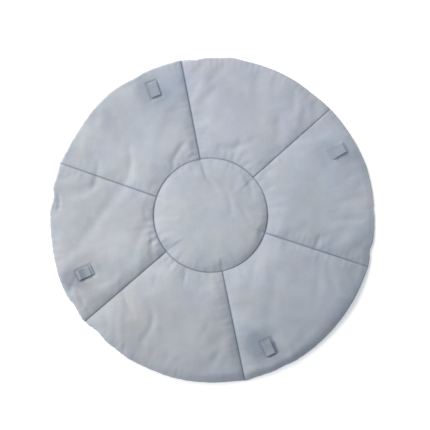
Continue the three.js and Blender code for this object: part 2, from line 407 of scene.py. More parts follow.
def fullness(points):
    """How full the padding stands, from 0 to 1. Slopes and domes are multiplied over all seams, each only as
    deep as that seam pulls, and mixed with a narrow roll beside the nearest stitches. The rim's share
    multiplies the mix."""
    middle, broad, nearest = 1, 1, np.inf
    for distance, depth, width in seam_pulls(points):
        middle = middle * (1 - depth * (1 - slope(distance, width)))
        broad = broad * (1 - depth * (1 - dome(distance, DOME_WIDTH)))
        nearest = np.minimum(nearest, distance)
    narrow = roll(nearest, CREASE_WIDTH)
    inner = CREASE_SHARE * narrow + (1 - CREASE_SHARE - DOME_SHARE) * middle + DOME_SHARE * broad
    return inner * rim_share(points)


def seam_height(points):
    """The height to which the seams are drawn: lower within a finger's breadth of the rim."""
    return RIM_HEIGHT + (SEAM_HEIGHT - RIM_HEIGHT) * smooth(distance_to_rim(points) / RIM_FALL_WIDTH)


def valley(points):
    """How deep the thread pulls the cloth down: 1 on an inner seam, falling straight to 0 beside it."""
    seams = [distance_to_disc_seam(points), *seam_distances(points)]
    return 1 - np.minimum(np.min(seams, axis=0) / VALLEY_HALF_WIDTH, 1)


print("the middle of the disc stands", np.round(fullness(DISC_CENTRE[None]), 2), "of the full height")

# %% [markdown]
# ## Creases, listed one by one
#
# Every padded cloth has creases of its own, where it was folded for storage or where a seam pulls. The main
# ones are listed one by one, each as a smooth curve through three places with a width and a height. A trough
# pushes cloth up beside itself, so its profile is a valley with a soft swell on both sides. A fold that
# fades at both ends looks natural, and one that stops short looks like a dent.


# %% The list of creases
class Fold(NamedTuple):
    """A crease through three places in mm, its half width and its height in mm; a trough is negative."""

    start: tuple
    through: tuple
    end: tuple
    half_width: float
    height: float


FOLDS = [
    # Panel at the upper left
    Fold((-88, 234), (-108, 206), (-120, 178), 9, -3.6),
    Fold((-121, 178), (-119, 164), (-127, 150), 6, -2.4),
    Fold((-100, 306), (-148, 270), (-162, 222), 20, -1.4),
    Fold((-130, 352), (-182, 235), (-174, 130), 18, 1.8),
    Fold((-254, 222), (-250, 160), (-266, 118), 11, -3.2),
    Fold((-394, 280), (-392, 220), (-394, 168), 18, 1.8),
    Fold((-350, 176), (-353, 140), (-364, 102), 9, -3.0),
    Fold((-71, 187), (-64, 195), (-57, 201), 6, -1.5),
    # Panel at the left
    Fold((-272, 100), (-326, 34), (-414, -84), 17, -3.4),
    Fold((-207, 30), (-203, 12), (-197, -4), 7, -2.0),
    Fold((-188, -2), (-222, -48), (-240, -120), 14, -2.6),
    Fold((-174, -54), (-188, -80), (-180, -120), 8, -3.0),
    Fold((-410, -166), (-424, -190), (-434, -218), 8, -4.0),
    Fold((-382, -202), (-340, -192), (-296, -166), 14, -2.2),
    Fold((-323, -202), (-313, -200), (-303, -196), 9, 1.2),
    Fold((-399, -254), (-389, -270), (-378, -285), 7, -2.5),
    Fold((-472, 74), (-468, 54), (-470, 34), 6, -4.0),
    Fold((-371, 30), (-369, 16), (-368, 3), 9, -1.2),
    Fold((-450, -131), (-443, -115), (-436, -100), 14, -1.4),
    Fold((-282, -202), (-280, -196), (-279, -189), 6, -2.0),
    Fold((-186, -40), (-184, -66), (-178, -92), 7, -3.0),
    # Panel at the bottom left
    Fold((-274, -218), (-262, -254), (-240, -290), 10, -4.0),
    Fold((-198, -250), (-182, -306), (-214, -364), 11, -3.2),
    Fold((-173, -285), (-168, -322), (-170, -360), 14, 1.5),
    Fold((-290, -264), (-298, -314), (-294, -380), 13, -2.2),
    Fold((-279, -309), (-278, -350), (-279, -394), 13, 1.4),
    Fold((-182, -394), (-184, -422), (-187, -452), 10, -1.5),
    Fold((-78, -150), (-84, -172), (-88, -196), 7, -3.0),
    Fold((-19, -158), (-10, -166), (-2, -171), 6, -2.0),
    Fold((-170, -162), (-175, -182), (-180, -202), 8, -2.5),
    Fold((-9, -309), (-24, -336), (-36, -360), 12, -1.6),
    Fold((27, -377), (16, -404), (7, -428), 12, -1.6),
    Fold((-62, -400), (-16, -312), (6, -220), 24, 1.5),
    Fold((-269, -387), (-270, -398), (-269, -408), 6, -3.0),
    Fold((-276, -222), (-270, -232), (-264, -244), 6, -3.0),
    Fold((-140, -118), (-134, -130), (-128, -143), 5, -2.6),
    # Between the lower left strap and the rim
    Fold((-440, -170), (-436, -200), (-422, -222), 12, -3.0),
    Fold((-412, -222), (-402, -240), (-392, -256), 6, -3.4),
    Fold((-384, -264), (-376, -276), (-366, -290), 6, -3.4),
    # Panel at the bottom right
    Fold((200, -162), (186, -230), (174, -320), 20, -2.4),
    Fold((320, -100), (326, -160), (320, -244), 15, -2.0),
    Fold((338, -120), (342, -172), (342, -223), 16, 0.8),
    Fold((138, -118), (126, -160), (116, -214), 12, -2.4),
    Fold((160, -97), (163, -136), (164, -175), 12, 1.4),
    Fold((229, -387), (232, -380), (236, -374), 16, 1.4),
    Fold((256, -353), (260, -346), (264, -340), 16, 1.4),
    # Panel at the right
    Fold((326, -54), (320, -74), (312, -90), 8, -3.0),
    Fold((335, -83), (350, -68), (362, -52), 10, 1.4),
    Fold((164, 91), (174, 98), (184, 103), 7, -2.0),
    Fold((410, 30), (384, -28), (356, -74), 20, 1.6),
    Fold((415, -95), (416, -101), (415, -107), 20, -1.4),
    # Panel at the top right
    Fold((140, 392), (144, 324), (138, 242), 20, -1.7),
    Fold((24, 222), (72, 224), (122, 244), 11, -2.5),
    Fold((67, 195), (67, 180), (68, 167), 7, -2.0),
    Fold((99, 167), (108, 171), (116, 174), 7, -2.0),
    # Centre disc
    Fold((-34, 184), (-24, 146), (12, 96), 9, -3.2),
    Fold((30, 104), (52, 68), (58, 18), 9, -2.6),
    Fold((18, 124), (66, 56), (104, -14), 17, 1.7),
    Fold((96, 144), (114, 112), (122, 74), 9, -2.6),
    Fold((79, 54), (98, 26), (113, -4), 7, -1.8),
    Fold((29, -120), (28, -132), (29, -144), 5, -2.0),
    Fold((140, -28), (146, -35), (150, -42), 5, -2.0),
]
print("there are", len(FOLDS), "creases")

# %% How a crease lifts or sinks the cloth
FOLD_STEPS = 16
FOLD_STRENGTH = 0.66
FOLD_REACH = 5
SIDE_SWELL = 0.2
SWELL_SPREAD = 2.2
END_SHARE = 0.35


def curve_through(places):
    """A quadratic curve that passes its second place halfway: (1-t)(1-2t), 4t(1-t) and t(2t-1) weights."""
    t = np.linspace(0, 1, FOLD_STEPS)[:, None]
    a, b, c = (np.array(p) * MM for p in places)
    return (1 - t) * (1 - 2 * t) * a + 4 * t * (1 - t) * b + t * (2 * t - 1) * c


def fold_profile(distance, half_width, height):
    """A bell curve; a trough has a wider, lower swell subtracted, which raises the cloth beside it."""
    bell = np.exp(-((distance / half_width) ** 2))
    if height > 0:
        return height * bell
    swell = np.exp(-((distance / (SWELL_SPREAD * half_width)) ** 2))
    return height * (bell * (1 + SIDE_SWELL) - SIDE_SWELL * swell)


def fold_height(points):
    """The sum of all creases. Each fades towards its two ends with the root of a half sine wave."""
    total = np.zeros(points.shape[:-1])
    for fold in FOLDS:
        curve = curve_through(fold[:3])
        reach = FOLD_REACH * fold.half_width * MM
        low, high = curve.min(axis=0) - reach, curve.max(axis=0) + reach
        near = ((points > low) & (points < high)).all(axis=-1)
        offsets = np.linalg.norm(points[near][:, None] - curve[None], axis=-1)
        nearest = offsets.argmin(axis=1)
        fade = END_SHARE + (1 - END_SHARE) * np.sin(np.pi * (nearest + 0.5) / FOLD_STEPS) ** 0.5
        total[near] += fade * fold_profile(offsets.min(axis=1), fold.half_width * MM, fold.height * MM)
    return total


# %% [markdown]
# ## Puckers beside the stitches
#
# Thread tightens as it is sewn, so a seam is a little shorter than the cloth it joins. The spare cloth
# stands up in small ripples across the seam, which are highest a finger's breadth away and die out soon
# after. Each ripple line is a sum of a few waves whose lengths and starting points come from a seeded
# generator, so every run gives the same mat.

# %% The ripples
PUCKER_HEIGHT = 0.42 * MM
PUCKER_PEAK = 10 * MM
PUCKER_WAVES = 14
SHORTEST_RIPPLE = 14 * MM
LONGEST_RIPPLE = 90 * MM
# Where the disc's stitches are tightest, its ripples stand higher by this many times
TIGHT_STITCHES = [Bump(225, 2.6, 28), Bump(285, 0.8, 20), Bump(120, 0.8, 20)]
random = np.random.default_rng(7)


def ripple(along):
    """Waves of mixed lengths and starts, added up and divided by the root of their number."""
    lengths = SHORTEST_RIPPLE * (LONGEST_RIPPLE / SHORTEST_RIPPLE) ** random.random(PUCKER_WAVES)
    starts = random.random(PUCKER_WAVES) * 2 * np.pi
    waves = np.sin(2 * np.pi * along[..., None] / lengths + starts)
    return waves.sum(axis=-1) / np.sqrt(PUCKER_WAVES)


def beside_seam(distance):
    """0 on the seam, 1 at the peak distance and fading beyond: x times e to the power 1 - x."""
    share = distance / PUCKER_PEAK
    return share * np.exp(1 - share)


def pucker_height(points):
    """Ripples beside every seam; the two sides of a seam have ripples of their own."""
    total = np.zeros(points.shape[:-1])
    for start, end in zip(seam_starts, seam_ends):
        along = (end - start) / np.linalg.norm(end - start)
        travelled = (points - start) @ along
        side = (points - start) @ np.array([-along[1], along[0]])
        strength = beside_seam(distance_to_line(points, start, end))
        total += strength * np.where(side > 0, ripple(travelled), ripple(travelled))
    from_disc = points - DISC_CENTRE
    travelled = bearing(from_disc) * DISC_RADIUS
    inside = np.linalg.norm(from_disc, axis=-1) < DISC_RADIUS
    ring_waves = np.where(inside, ripple(travelled), ripple(travelled))
    tight = 1 + bell_curves(travelled / DISC_RADIUS, TIGHT_STITCHES) / MM
    total += beside_seam(distance_to_disc_seam(points)) * ring_waves * tight
    total += beside_seam(distance_to_rim(points)) * ripple(bearing(points) * MAT_RADIUS)
    return PUCKER_HEIGHT * total


print("ripples are", SHORTEST_RIPPLE / MM, "to", LONGEST_RIPPLE / MM, "mm long")

# %% [markdown]
# ## The seats of the straps
#
# Each strap is sewn through the padding and presses a seat into it. The seat is flat under the strap, and the
# cloth rises around it in two steps: a tight lip right beside the strap, then a wide, shallow dimple.


# %% Straps and their seats
class Strap(NamedTuple):
    """Node name, centre in mm and direction of the fold in degrees. Then, in mm: how far the fold is puffed
    up, how far the free end lifts, how much the upper layer's left edge stands higher than its right one, how
    far that layer ends before the lower one does, and how far the hollow around the strap, with the shade
    painted into it, is moved to the fold and to the left. The last number tells how dark that painted shade
    is, from 0 to 1."""

    node: str
    x: float
    y: float
    direction: float
    puff: float
    lift: float
    lean: float
    setback: float
    ahead: float
    left: float
    painted_hollow_shade: float


STRAPS = [
    Strap("strap_upper_left", -178, 400, 110, 0.6, 0.3, -0.5, 3, -1.2, -1.2, 0.02),
    Strap("strap_upper_right", 384, 211, 31, 0.7, 0.5, -0.3, 5, 0.3, 0.3, 0.46),
    Strap("strap_lower_left", -390, -160, 204, 4.2, 2.2, 1.6, 8, -2.5, 4, 0.7),
    Strap("strap_lower_right", 171, -390, 295, 1.2, 0.6, 4.8, 8, 2.5, 8, 0.65),
]
STRAP_WIDTH = 29 * MM
STRAP_LENGTH = 48 * MM
SEAT_HEIGHT = 18.8 * MM
SEAT_MARGIN = 1.5 * MM
LIP_WIDTH = 5 * MM
LIP_SHARE = 0.42
DIMPLE_WIDTH = 46 * MM


def to_strap(points, strap):
    """Points turned into the strap's own lengthwise and crosswise directions, from its centre."""
    along = direction(np.radians(strap.direction))
    across = np.array([-along[1], along[0]])
    offset = points - np.array([strap.x, strap.y]) * MM
    return np.stack([offset @ along, offset @ across], axis=-1)


def seat_share(points):
    """1 under a strap, less beyond its lip, and 0 beyond the dimple."""
    total = np.zeros(points.shape[:-1])
    for strap in STRAPS:
        side = np.array([strap.ahead, strap.left]) * MM / 2
        half = np.array([STRAP_LENGTH, STRAP_WIDTH]) / 2 + SEAT_MARGIN + np.abs(side)
        outside = np.linalg.norm(np.maximum(np.abs(to_strap(points, strap) - side) - half, 0), axis=-1)
        rise = LIP_SHARE * smooth(outside / LIP_WIDTH) + (1 - LIP_SHARE) * smooth(outside / DIMPLE_WIDTH)
        total = np.maximum(total, 1 - rise)
    return total


print("the", len(STRAPS), "seats lie", round(SEAT_HEIGHT / MM, 1), "mm above the floor")

# %% [markdown]
# ## Rings that double
#
# A disc made of rings with the same number of columns crowds its vertices in the middle. Here each ring may
# have twice as many columns as the ring inside it, which keeps all faces near one size. Equal rings are
# joined with quads, and a doubling ring with three triangles for each inner column.


# %% A mesh of rings
def crowded(share, end_spacing, width):
    """Even steps from 0 to 1, drawn together towards both ends: the step there is end_spacing of the mean."""
    eased = share - (1 - end_spacing) * width * (
        1 - np.exp(-share / width) + np.exp(-(1 - share) / width) - np.exp(-1 / width)
    )
    whole = 1 - 2 * (1 - end_spacing) * width * (1 - np.exp(-1 / width))
    return eased / whole


def ring_columns(reaches, spacing, most):
    """Columns of each ring: six times a power of two, near the spacing and at most double the ring before."""
    inner, outer = DISC_RADIUS, MAT_RADIUS
    radius = np.where(reaches <= 1, reaches * inner, inner + (reaches - 1) * (outer - inner))
    wanted = np.maximum(2 * np.pi * radius / spacing / PANELS, 1)
    doublings = np.floor(np.log2(wanted) + 0.5).astype(int)
    for ring in range(1, len(doublings)):
        doublings[ring] = min(doublings[ring], doublings[ring - 1] + 1)
    return np.minimum(PANELS * 2**doublings, most)


def ring_positions(columns, crowd):
    """Position around the mat of every column of one ring."""
    position = np.arange(columns) * PANELS / columns
    panel = np.floor(position)
    return panel + crowd(position - panel)


def join_rings(first_inner, inner, first_outer, outer):
    """Quads and triangles between two rings that turn anticlockwise: quads where they have as many columns,
    and where the outer ring has twice as many, three triangles for each inner column."""
    here, there = np.arange(inner), (np.arange(inner) + 1) % inner
    a, b = here + first_inner, there + first_inner
    if inner == outer:
        quads = np.stack([a, here + first_outer, there + first_outer, b], axis=1)
        return quads, np.empty((0, 3), dtype=int)
    c, d = here * 2 + first_outer, (there * 2) % outer + first_outer
    triangles = [np.stack(corners, axis=1) for corners in ((a, c, c + 1), (a, c + 1, b), (b, c + 1, d))]
    return np.empty((0, 4), dtype=int), np.concatenate(triangles)


def rings_of(reaches, columns, crowd, first=0):
    """All vertices of a set of rings as position and reach, with their quads and triangles.
    The innermost ring is closed by a fan of triangles round its middle point, which is the first vertex."""
    position = np.concatenate([[0.0], *[ring_positions(n, crowd) for n in columns]])
    reach = np.concatenate([[0.0], np.repeat(reaches, columns)])
    starts = first + 1 + np.concatenate([[0], np.cumsum(columns)])
    here, there = np.arange(columns[0]), (np.arange(columns[0]) + 1) % columns[0]
    fan = np.stack([np.full(columns[0], first), starts[0] + here, starts[0] + there], axis=1)
    quads, triangles = zip(*(
        join_rings(starts[ring], columns[ring], starts[ring + 1], columns[ring + 1])
        for ring in range(len(columns) - 1)
    ))
    return position, reach, np.concatenate(quads), np.concatenate([fan, *triangles]), starts


# %% Between numpy and Blender
def new_object(name, vertices, faces):
    """A mesh object at the origin with smooth shading."""
    mesh = bpy.data.meshes.new(name)
    mesh.from_pydata(vertices.tolist(), [], faces)
    mesh.shade_smooth()
    mesh.validate()
    made = bpy.data.objects.new(name, mesh)
    bpy.context.scene.collection.objects.link(made)
    return made


def vertex_places(mesh):
    """The coordinates of all vertices, one row each."""
    flat = np.empty(len(mesh.vertices) * 3)
    mesh.vertices.foreach_get("co", flat)
    return flat.reshape(-1, 3)


def corner_vertices(mesh):
    """The vertex at each face corner."""
    corner = np.empty(len(mesh.loops), dtype=int)
    mesh.loops.foreach_get("vertex_index", corner)
    return corner


def write_painted_shade_of(mesh, shade):
    """Writes the painted shade at each vertex, how dark the cloth is from 0 to 1, where the cotton finish
    reads it.
    """
    mesh.attributes.new("stitch_line_and_painted_shade", "FLOAT", "POINT").data.foreach_set("value", shade)


print("a rim with a vertex every 4 mm has", ring_columns(np.array([2.0]), 4 * MM, 1000)[0], "columns")

# %% [markdown]
# ## Letting the cover crumple
#
# The broad shape is known, but no formula gives the small unevenness of cotton over wadding. A coarse copy of
# the top is given to the cloth solver: pinned along every seam and the rim, cut a little too large, and
# blown up gently from below. What it adds within a hand's breadth is kept, and its broad bulge is taken away,
# because the wadding holds the mat's height.

# %% The cloth and its settings
SIM_SPACING = 8 * MM
SIM_DISC_RINGS = 22
SIM_PANEL_RINGS = 40
SIM_COLUMNS = 384
SIM_FRAMES = 24
SIM_PRESSURE = 1.2
SIM_SPARE_CLOTH = 0.02
SIM_GAIN = 0.5
SIM_CAP = 1.8 * MM
FINE_PASSES, BROAD_PASSES = 1, 50
ON_SEAM = 1e-6


def even(share):
    """Columns spaced evenly."""
    return share


def cloth_settings(cloth):
    """A light cotton: it hardly stretches, bends easily and is damped so that it comes to rest soon."""
    settings = cloth.settings
    settings.quality = 6
    settings.mass = 0.15
    settings.tension_stiffness = 20
    settings.compression_stiffness = 20
    settings.shear_stiffness = 8
    settings.bending_stiffness = 0.6
    settings.tension_damping = 10
    settings.compression_damping = 10
    settings.shear_damping = 10
    settings.air_damping = 2
    settings.shrink_min = -SIM_SPARE_CLOTH
    settings.use_pressure = True
    settings.uniform_pressure_force = SIM_PRESSURE
    settings.vertex_group_mass = "sewn"
    settings.effector_weights.gravity = 0
    cloth.collision_settings.use_collision = False
    cloth.collision_settings.use_self_collision = False


print("the cloth runs for", SIM_FRAMES, "frames, unless this is a quick run")


# %% Simulate the cover
def top_height(points):
    """The padded height without creases or ripples: from the seam height up to the crown."""
    low = seam_height(points)
    return low + (CROWN_HEIGHT - low) * fullness(points)


def simulate_cover():
    """Heights that the cloth solver adds, one for each vertex of the coarse rings."""
    disc = np.arange(1, SIM_DISC_RINGS + 1) / SIM_DISC_RINGS
    panel = 1 + np.arange(1, SIM_PANEL_RINGS + 1) / SIM_PANEL_RINGS
    reaches = np.concatenate([disc, panel])
    columns = ring_columns(reaches, SIM_SPACING, SIM_COLUMNS)
    position, reach, quads, triangles, starts = rings_of(reaches, columns, even)
    points = place(position, reach)
    height = top_height(points)
    vertices = np.column_stack([points, height])
    cover = new_object("cover_to_crumple", vertices, [*quads.tolist(), *triangles.tolist()])

    on_seam = (np.abs(position - np.round(position)) < ON_SEAM) & (reach >= 1)
    sewn = on_seam | (np.abs(reach - 1) < ON_SEAM) | (reach > 2 - ON_SEAM)
    group = cover.vertex_groups.new(name="sewn")
    group.add(np.flatnonzero(sewn).tolist(), 1.0, "REPLACE")

    cloth = cover.modifiers.new("cloth", "CLOTH")
    cloth_settings(cloth)
    cloth.point_cache.frame_start, cloth.point_cache.frame_end = 1, SIM_FRAMES
    scene = bpy.context.scene
    for number in range(1, SIM_FRAMES + 1):
        scene.frame_set(number)
    settled = cover.evaluated_get(bpy.context.evaluated_depsgraph_get())
    rise = vertex_places(settled.data)[:, 2] - height
    scene.frame_set(1)
    bpy.data.objects.remove(cover)
    print("the cloth rose by", np.round(np.percentile(rise / MM, [0, 5, 50, 95, 100]), 2), "mm")
    return rise, columns, starts


# %% Keep the fine part of the rise
def resampled(values, count):
    """A closed ring of values read at more places by a smooth cubic through four neighbours."""
    return cubic(values, np.arange(count) * len(values) / count)


def cubic(values, where):
    """Reads a closed row of values between its entries: a weighted sum of the four nearest ones, with cubic
    weights that add up to 1 and pass through every entry."""
    base = np.floor(where).astype(int)
    t = where - base
    weights = [
        -0.5 * t + t**2 - 0.5 * t**3,
        1 - 2.5 * t**2 + 1.5 * t**3,
        0.5 * t + 2 * t**2 - 1.5 * t**3,
        -0.5 * t**2 + 0.5 * t**3,
    ]
    return sum(w * values[(base + k - 1) % len(values)] for k, w in enumerate(weights))


def blurred(grid, passes):
    """Repeated averaging with the neighbours, closed around the rings and held at the first and last ring."""
    for _ in range(passes):
        padded = np.concatenate([grid[:1], grid, grid[-1:]])
        grid = 0.5 * grid + 0.25 * (padded[:-2] + padded[2:])
        grid = 0.5 * grid + 0.25 * (np.roll(grid, 1, axis=1) + np.roll(grid, -1, axis=1))
    return grid


def crumple_grid():
    """The fine part of the simulated rise, as rings by columns: a little blurred less much blurred, and held
    below the cap by a tanh curve."""
    rise, columns, starts = simulate_cover()
    rings = [resampled(rise[a : a + n], SIM_COLUMNS) for a, n in zip(starts, columns)]
    grid = np.array([np.full(SIM_COLUMNS, rise[0]), *rings])
    fine = SIM_GAIN * (blurred(grid, FINE_PASSES) - blurred(grid, BROAD_PASSES))
    return SIM_CAP * np.tanh(fine / SIM_CAP)


def read_grid(grid, position, reach):
    """Reads the crumple grid at any position and reach, smoothly in both directions."""
    ring = np.where(reach <= 1, reach * SIM_DISC_RINGS, SIM_DISC_RINGS + (reach - 1) * SIM_PANEL_RINGS)
    base = np.clip(np.floor(ring).astype(int), 0, len(grid) - 2)
    t = smooth(ring - base)
    column = position / PANELS * SIM_COLUMNS
    flat = grid.reshape(-1)
    lower = read_ring(flat, base, column)
    upper = read_ring(flat, base + 1, column)
    return lower + (upper - lower) * t


def read_ring(flat, ring, column):
    """One ring read between its columns, with the soft step between two neighbours."""
    base = np.floor(column).astype(int)
    t = smooth(column - base)
    here = flat[ring * SIM_COLUMNS + base % SIM_COLUMNS]
    there = flat[ring * SIM_COLUMNS + (base + 1) % SIM_COLUMNS]
    return here + (there - here) * t


crumple = crumple_grid()

# %% [markdown]
# ## The mat as one closed skin
#
# The top runs from the middle of the disc out to the rim, and the underside runs back in. Both share the
# rim's vertices, so the skin is closed. Rings and columns crowd beside the seams, where the cloth turns
# steeply, and open out in the middle of the panels. At the rim the two covers meet in a seam that is drawn a
# little inwards.

# %% Where the rings and columns lie
TOP_SPACING = 3.8 * MM
TOP_COLUMNS = 768
TOP_DISC_RINGS = 48
TOP_PANEL_RINGS = 104
DISC_CROWDING = 1.6
SEAM_STEP, RIM_STEP, CROWDED_WIDTH = 0.2, 0.15, 0.06
UNDER_SPACING = 12 * MM
UNDER_COLUMNS = 384
UNDER_DISC = [0.12, 0.25, 0.4, 0.55, 0.7, 0.82, 0.9, 0.95, 1.0]
UNDER_PANEL = [0.02, 0.05, 0.1, 0.2, 0.35, 0.5, 0.65, 0.8, 0.9, 0.94, 0.965, 0.985, 0.996]
RIM_SEAM_DEPTH = 1.6 * MM


def panel_crowd(share):
    """Columns crowd beside the radial seams."""
    return crowded(share, SEAM_STEP, CROWDED_WIDTH)


def top_reaches():
    """Rings crowd towards the disc's seam from both sides, and towards the rim."""
    disc = 1 - (1 - np.arange(1, TOP_DISC_RINGS + 1) / TOP_DISC_RINGS) ** DISC_CROWDING
    panel = 1 + crowded(np.arange(1, TOP_PANEL_RINGS + 1) / TOP_PANEL_RINGS, RIM_STEP, CROWDED_WIDTH)
    return np.concatenate([disc, panel])


print("the top has", len(top_reaches()), "rings")


# %% The two sides of the mat
def mat_top(position, reach):
    """The top surface: padding, creases, ripples and crumple, pressed flat under the straps."""
    points = place(position, reach)
    full = fullness(points)
    low = seam_height(points)
    height = CROWN_HEIGHT - low + FOLD_STRENGTH * fold_height(points) + pucker_height(points)
    height = low + height * full - VALLEY_DEPTH * valley(points)
    if crumple is not None:
        height = height + read_grid(crumple, position, reach) * np.minimum(full * 2, 1)
    seat = seat_share(points)
    height = height + (SEAT_HEIGHT - height) * seat
    return np.column_stack([points, height])


def mat_under(position, reach):
    """The underside: flat on the floor, lifted to the rim's seam and grooved under the stitches."""
    points = place(position, reach)
    lift = RIM_HEIGHT * (1 - roll(distance_to_rim(points), UNDER_LIFT_WIDTH))
    to_seam = np.minimum(seam_distances(points).min(axis=0), distance_to_disc_seam(points))
    groove = UNDER_GROOVE_DEPTH * (1 - smooth(to_seam / UNDER_GROOVE_WIDTH))
    return np.column_stack([points, np.maximum(lift, groove)])


# %% Build the mat
def build_mat():
    """Joins top, rim and underside into one object, and keeps each vertex's position and reach."""
    reaches = top_reaches()
    columns = ring_columns(reaches, TOP_SPACING, TOP_COLUMNS)
    position, reach, quads, triangles, starts = rings_of(reaches, columns, panel_crowd)
    top = mat_top(position, reach)

    under_reaches = np.concatenate([UNDER_DISC, 1 + np.array(UNDER_PANEL)])
    under_columns = ring_columns(under_reaches, UNDER_SPACING, UNDER_COLUMNS)
    parts = rings_of(under_reaches, under_columns, panel_crowd, first=len(top))
    under_position, under_reach, under_quads, under_triangles, under_starts = parts
    under = mat_under(under_position, under_reach)

    rim_quads, rim_triangles = join_rings(under_starts[-2], under_columns[-1], starts[-2], columns[-1])
    vertices = np.concatenate([top, under])
    rim = np.arange(starts[-2], starts[-1])
    inward = vertices[rim, :2] / np.linalg.norm(vertices[rim, :2], axis=1)[:, None]
    vertices[rim, :2] -= RIM_SEAM_DEPTH * inward
    vertices[:, :2] += SHIFT

    # Seen from above, the underside's faces turn the other way round
    quads = np.concatenate([quads, under_quads[:, ::-1], rim_quads[:, ::-1]])
    triangles = np.concatenate([triangles, under_triangles[:, ::-1], rim_triangles[:, ::-1]])
    faces = [*quads.tolist(), *triangles.tolist()]
    mat = new_object("quilted_mat", vertices, faces)
    print("the mat has", len(mat.data.vertices), "vertices and", len(mat.data.polygons), "faces")
    return mat, np.concatenate([position, under_position]), np.concatenate([reach, under_reach])


mat, vertex_position, vertex_reach = build_mat()

# %% [markdown]
# ## Weave coordinates
#
# Each panel is cut with its threads along its own middle, so the weave turns from panel to panel as it does
# on a sewn mat. A face belongs to the panel that the mean of its corners lies in, and its corners get
# coordinates in metres in that panel's own directions.

# %% Write the weave map
DISC_GRAIN = np.radians(8)


def write_weave(piece, position, reach):
    """For each face corner: x and y turned by the grain of the face's panel, in metres."""
    mesh = piece.data
    corner = corner_vertices(mesh)
    count = np.empty(len(mesh.polygons), dtype=int)
    mesh.polygons.foreach_get("loop_total", count)
    face = np.repeat(np.arange(len(count)), count)
    turn = position[corner] / PANELS * 2 * np.pi
    mean = np.arctan2(np.bincount(face, np.sin(turn)), np.bincount(face, np.cos(turn)))
    panel = np.floor((mean / (2 * np.pi) * PANELS) % PANELS).astype(int)
    on_disc = np.bincount(face, reach[corner]) / count < 1
    next_seam = np.append(SEAM_RIM_ANGLES[1:], SEAM_RIM_ANGLES[0] + 2 * np.pi)
    grain = np.where(on_disc, DISC_GRAIN, ((SEAM_RIM_ANGLES + next_seam) / 2)[panel])[face]
    flat = vertex_places(mesh)[corner, :2]
    turned = np.column_stack([
        flat[:, 0] * np.cos(grain) + flat[:, 1] * np.sin(grain),
        flat[:, 1] * np.cos(grain) - flat[:, 0] * np.sin(grain),
    ])
    mesh.uv_layers.new(name="weave").data.foreach_set("uv", turned.ravel())


write_weave(mat, vertex_position, vertex_reach)
print("the disc's threads run", round(np.degrees(DISC_GRAIN)), "degrees off the mat's X")

# %% [markdown]
# ## Uneven colour and painted shade
#
# Washing, sun and handling fade the colour unevenly, in soft patches a hand or two across. Other patches are
# painted shade: darker, bluer hollows round the straps, a band below the seam at 9 o'clock, the inside of the
# disc's upper edge and the cloth beside the seam at the right; a band above the seam at 9 o'clock is painted
# light. Each patch has a place and a size, and says how much paler, warmer and redder the cloth is there. The
# shader reads them from a vertex attribute and adds its own finer unevenness.


# %% The patches
class Patch(NamedTuple):
    """Centre and radius in mm, and how much paler, warmer and redder the cloth is in the patch's middle."""

    x: float
    y: float
    radius: float
    paler: float
    warmer: float = 0
    redder: float = 0


PATCHES = [
    # Warm on the left and the lower left
    Patch(-310, -260, 150, 0.0, 0.32),
    Patch(-340, 10, 160, 0.0, 0.15),
    Patch(-120, -330, 150, 0.0, 0.2),
    Patch(-110, -60, 110, 0.0, 0.18),
    # A breath of lilac at the top right
    Patch(50, 380, 130, 0.0, 0.0, 0.2),
    Patch(250, 320, 130, 0.0, 0.0, 0.2),
    # Cooler on the right, greener at the bottom and in the middle
    Patch(290, -80, 130, 0.0, -0.12),
    Patch(240, -280, 150, 0.0, -0.08),
    Patch(340, 170, 80, 0.0, -0.1, 0.12),
    Patch(140, 300, 60, 0.0, -0.13, -0.08),
    Patch(-105, 280, 60, 0.0, -0.11, 0.1),
    Patch(-240, -240, 60, 0.0, -0.12, 0.1),
    Patch(-175, -100, 60, -0.04, -0.15),
    Patch(140, -300, 110, 0.0, 0.0, -0.12),
    Patch(20, -60, 90, 0.06, -0.05, -0.2),
    # Paler along the right rim
    Patch(450, 40, 90, 0.26, 0.08),
    Patch(345, 235, 90, 0.12),
    Patch(485, 70, 60, 0.2),
    Patch(445, 240, 50, 0.16),
    Patch(400, -20, 60, 0.08),
    # Paler in the middle and on the left
    Patch(-100, -30, 130, 0.16),
    Patch(-305, -100, 100, 0.2),
    Patch(-175, 210, 80, 0.1),
    Patch(-250, 110, 70, 0.1),
    Patch(170, 90, 80, 0.09),
    Patch(230, 200, 150, 0.07),
    Patch(30, 250, 70, 0.08),
    # Darker towards the rim
    Patch(-110, 400, 80, -0.16, -0.1),
    Patch(-310, 320, 85, -0.23),
    Patch(-105, 150, 50, -0.06),
    Patch(0, -460, 70, -0.12),
    Patch(-440, 70, 90, -0.12, 0.12, 0.05),
    Patch(80, -420, 100, -0.12),
    Patch(0, 430, 70, -0.09),
    Patch(-400, -20, 50, -0.08),
    Patch(-245, -360, 95, -0.2),
    Patch(430, -118, 60, -0.16),
    Patch(340, -260, 90, -0.07),
    # Painted shade: darker and bluer in the hollows round the straps
    Patch(-215, 425, 42, -0.28, -0.12, -0.12),
    Patch(-160, 378, 44, -0.5, -0.36, -0.22),
    Patch(378, 200, 50, -0.24, -0.22),
    Patch(-432, -182, 28, -0.8, -0.1, -0.1),
    Patch(-350, -145, 24, -0.45, -0.15, -0.1),
    Patch(-385, -200, 26, -0.35, -0.1, -0.1),
    Patch(134, -380, 34, -1.0, -0.25, -0.3),
    Patch(203, -408, 30, -0.3, -0.16, -0.16),
    Patch(210, -345, 80, -0.12),
    # Painted shade below the seam at 9 o'clock and painted light above it, then painted shade inside the
    # disc's upper edge and beside the seam at the right
    Patch(-233, 84, 22, -0.14),
    Patch(-300, 108, 22, -0.14),
    Patch(-366, 131, 22, -0.14),
    Patch(-432, 154, 22, -0.14),
    Patch(-230, 118, 30, 0.09),
    Patch(-300, 143, 30, 0.09),
    Patch(-370, 167, 30, 0.09),
    Patch(-45, 172, 42, -0.16),
    Patch(320, -100, 60, -0.08),
]


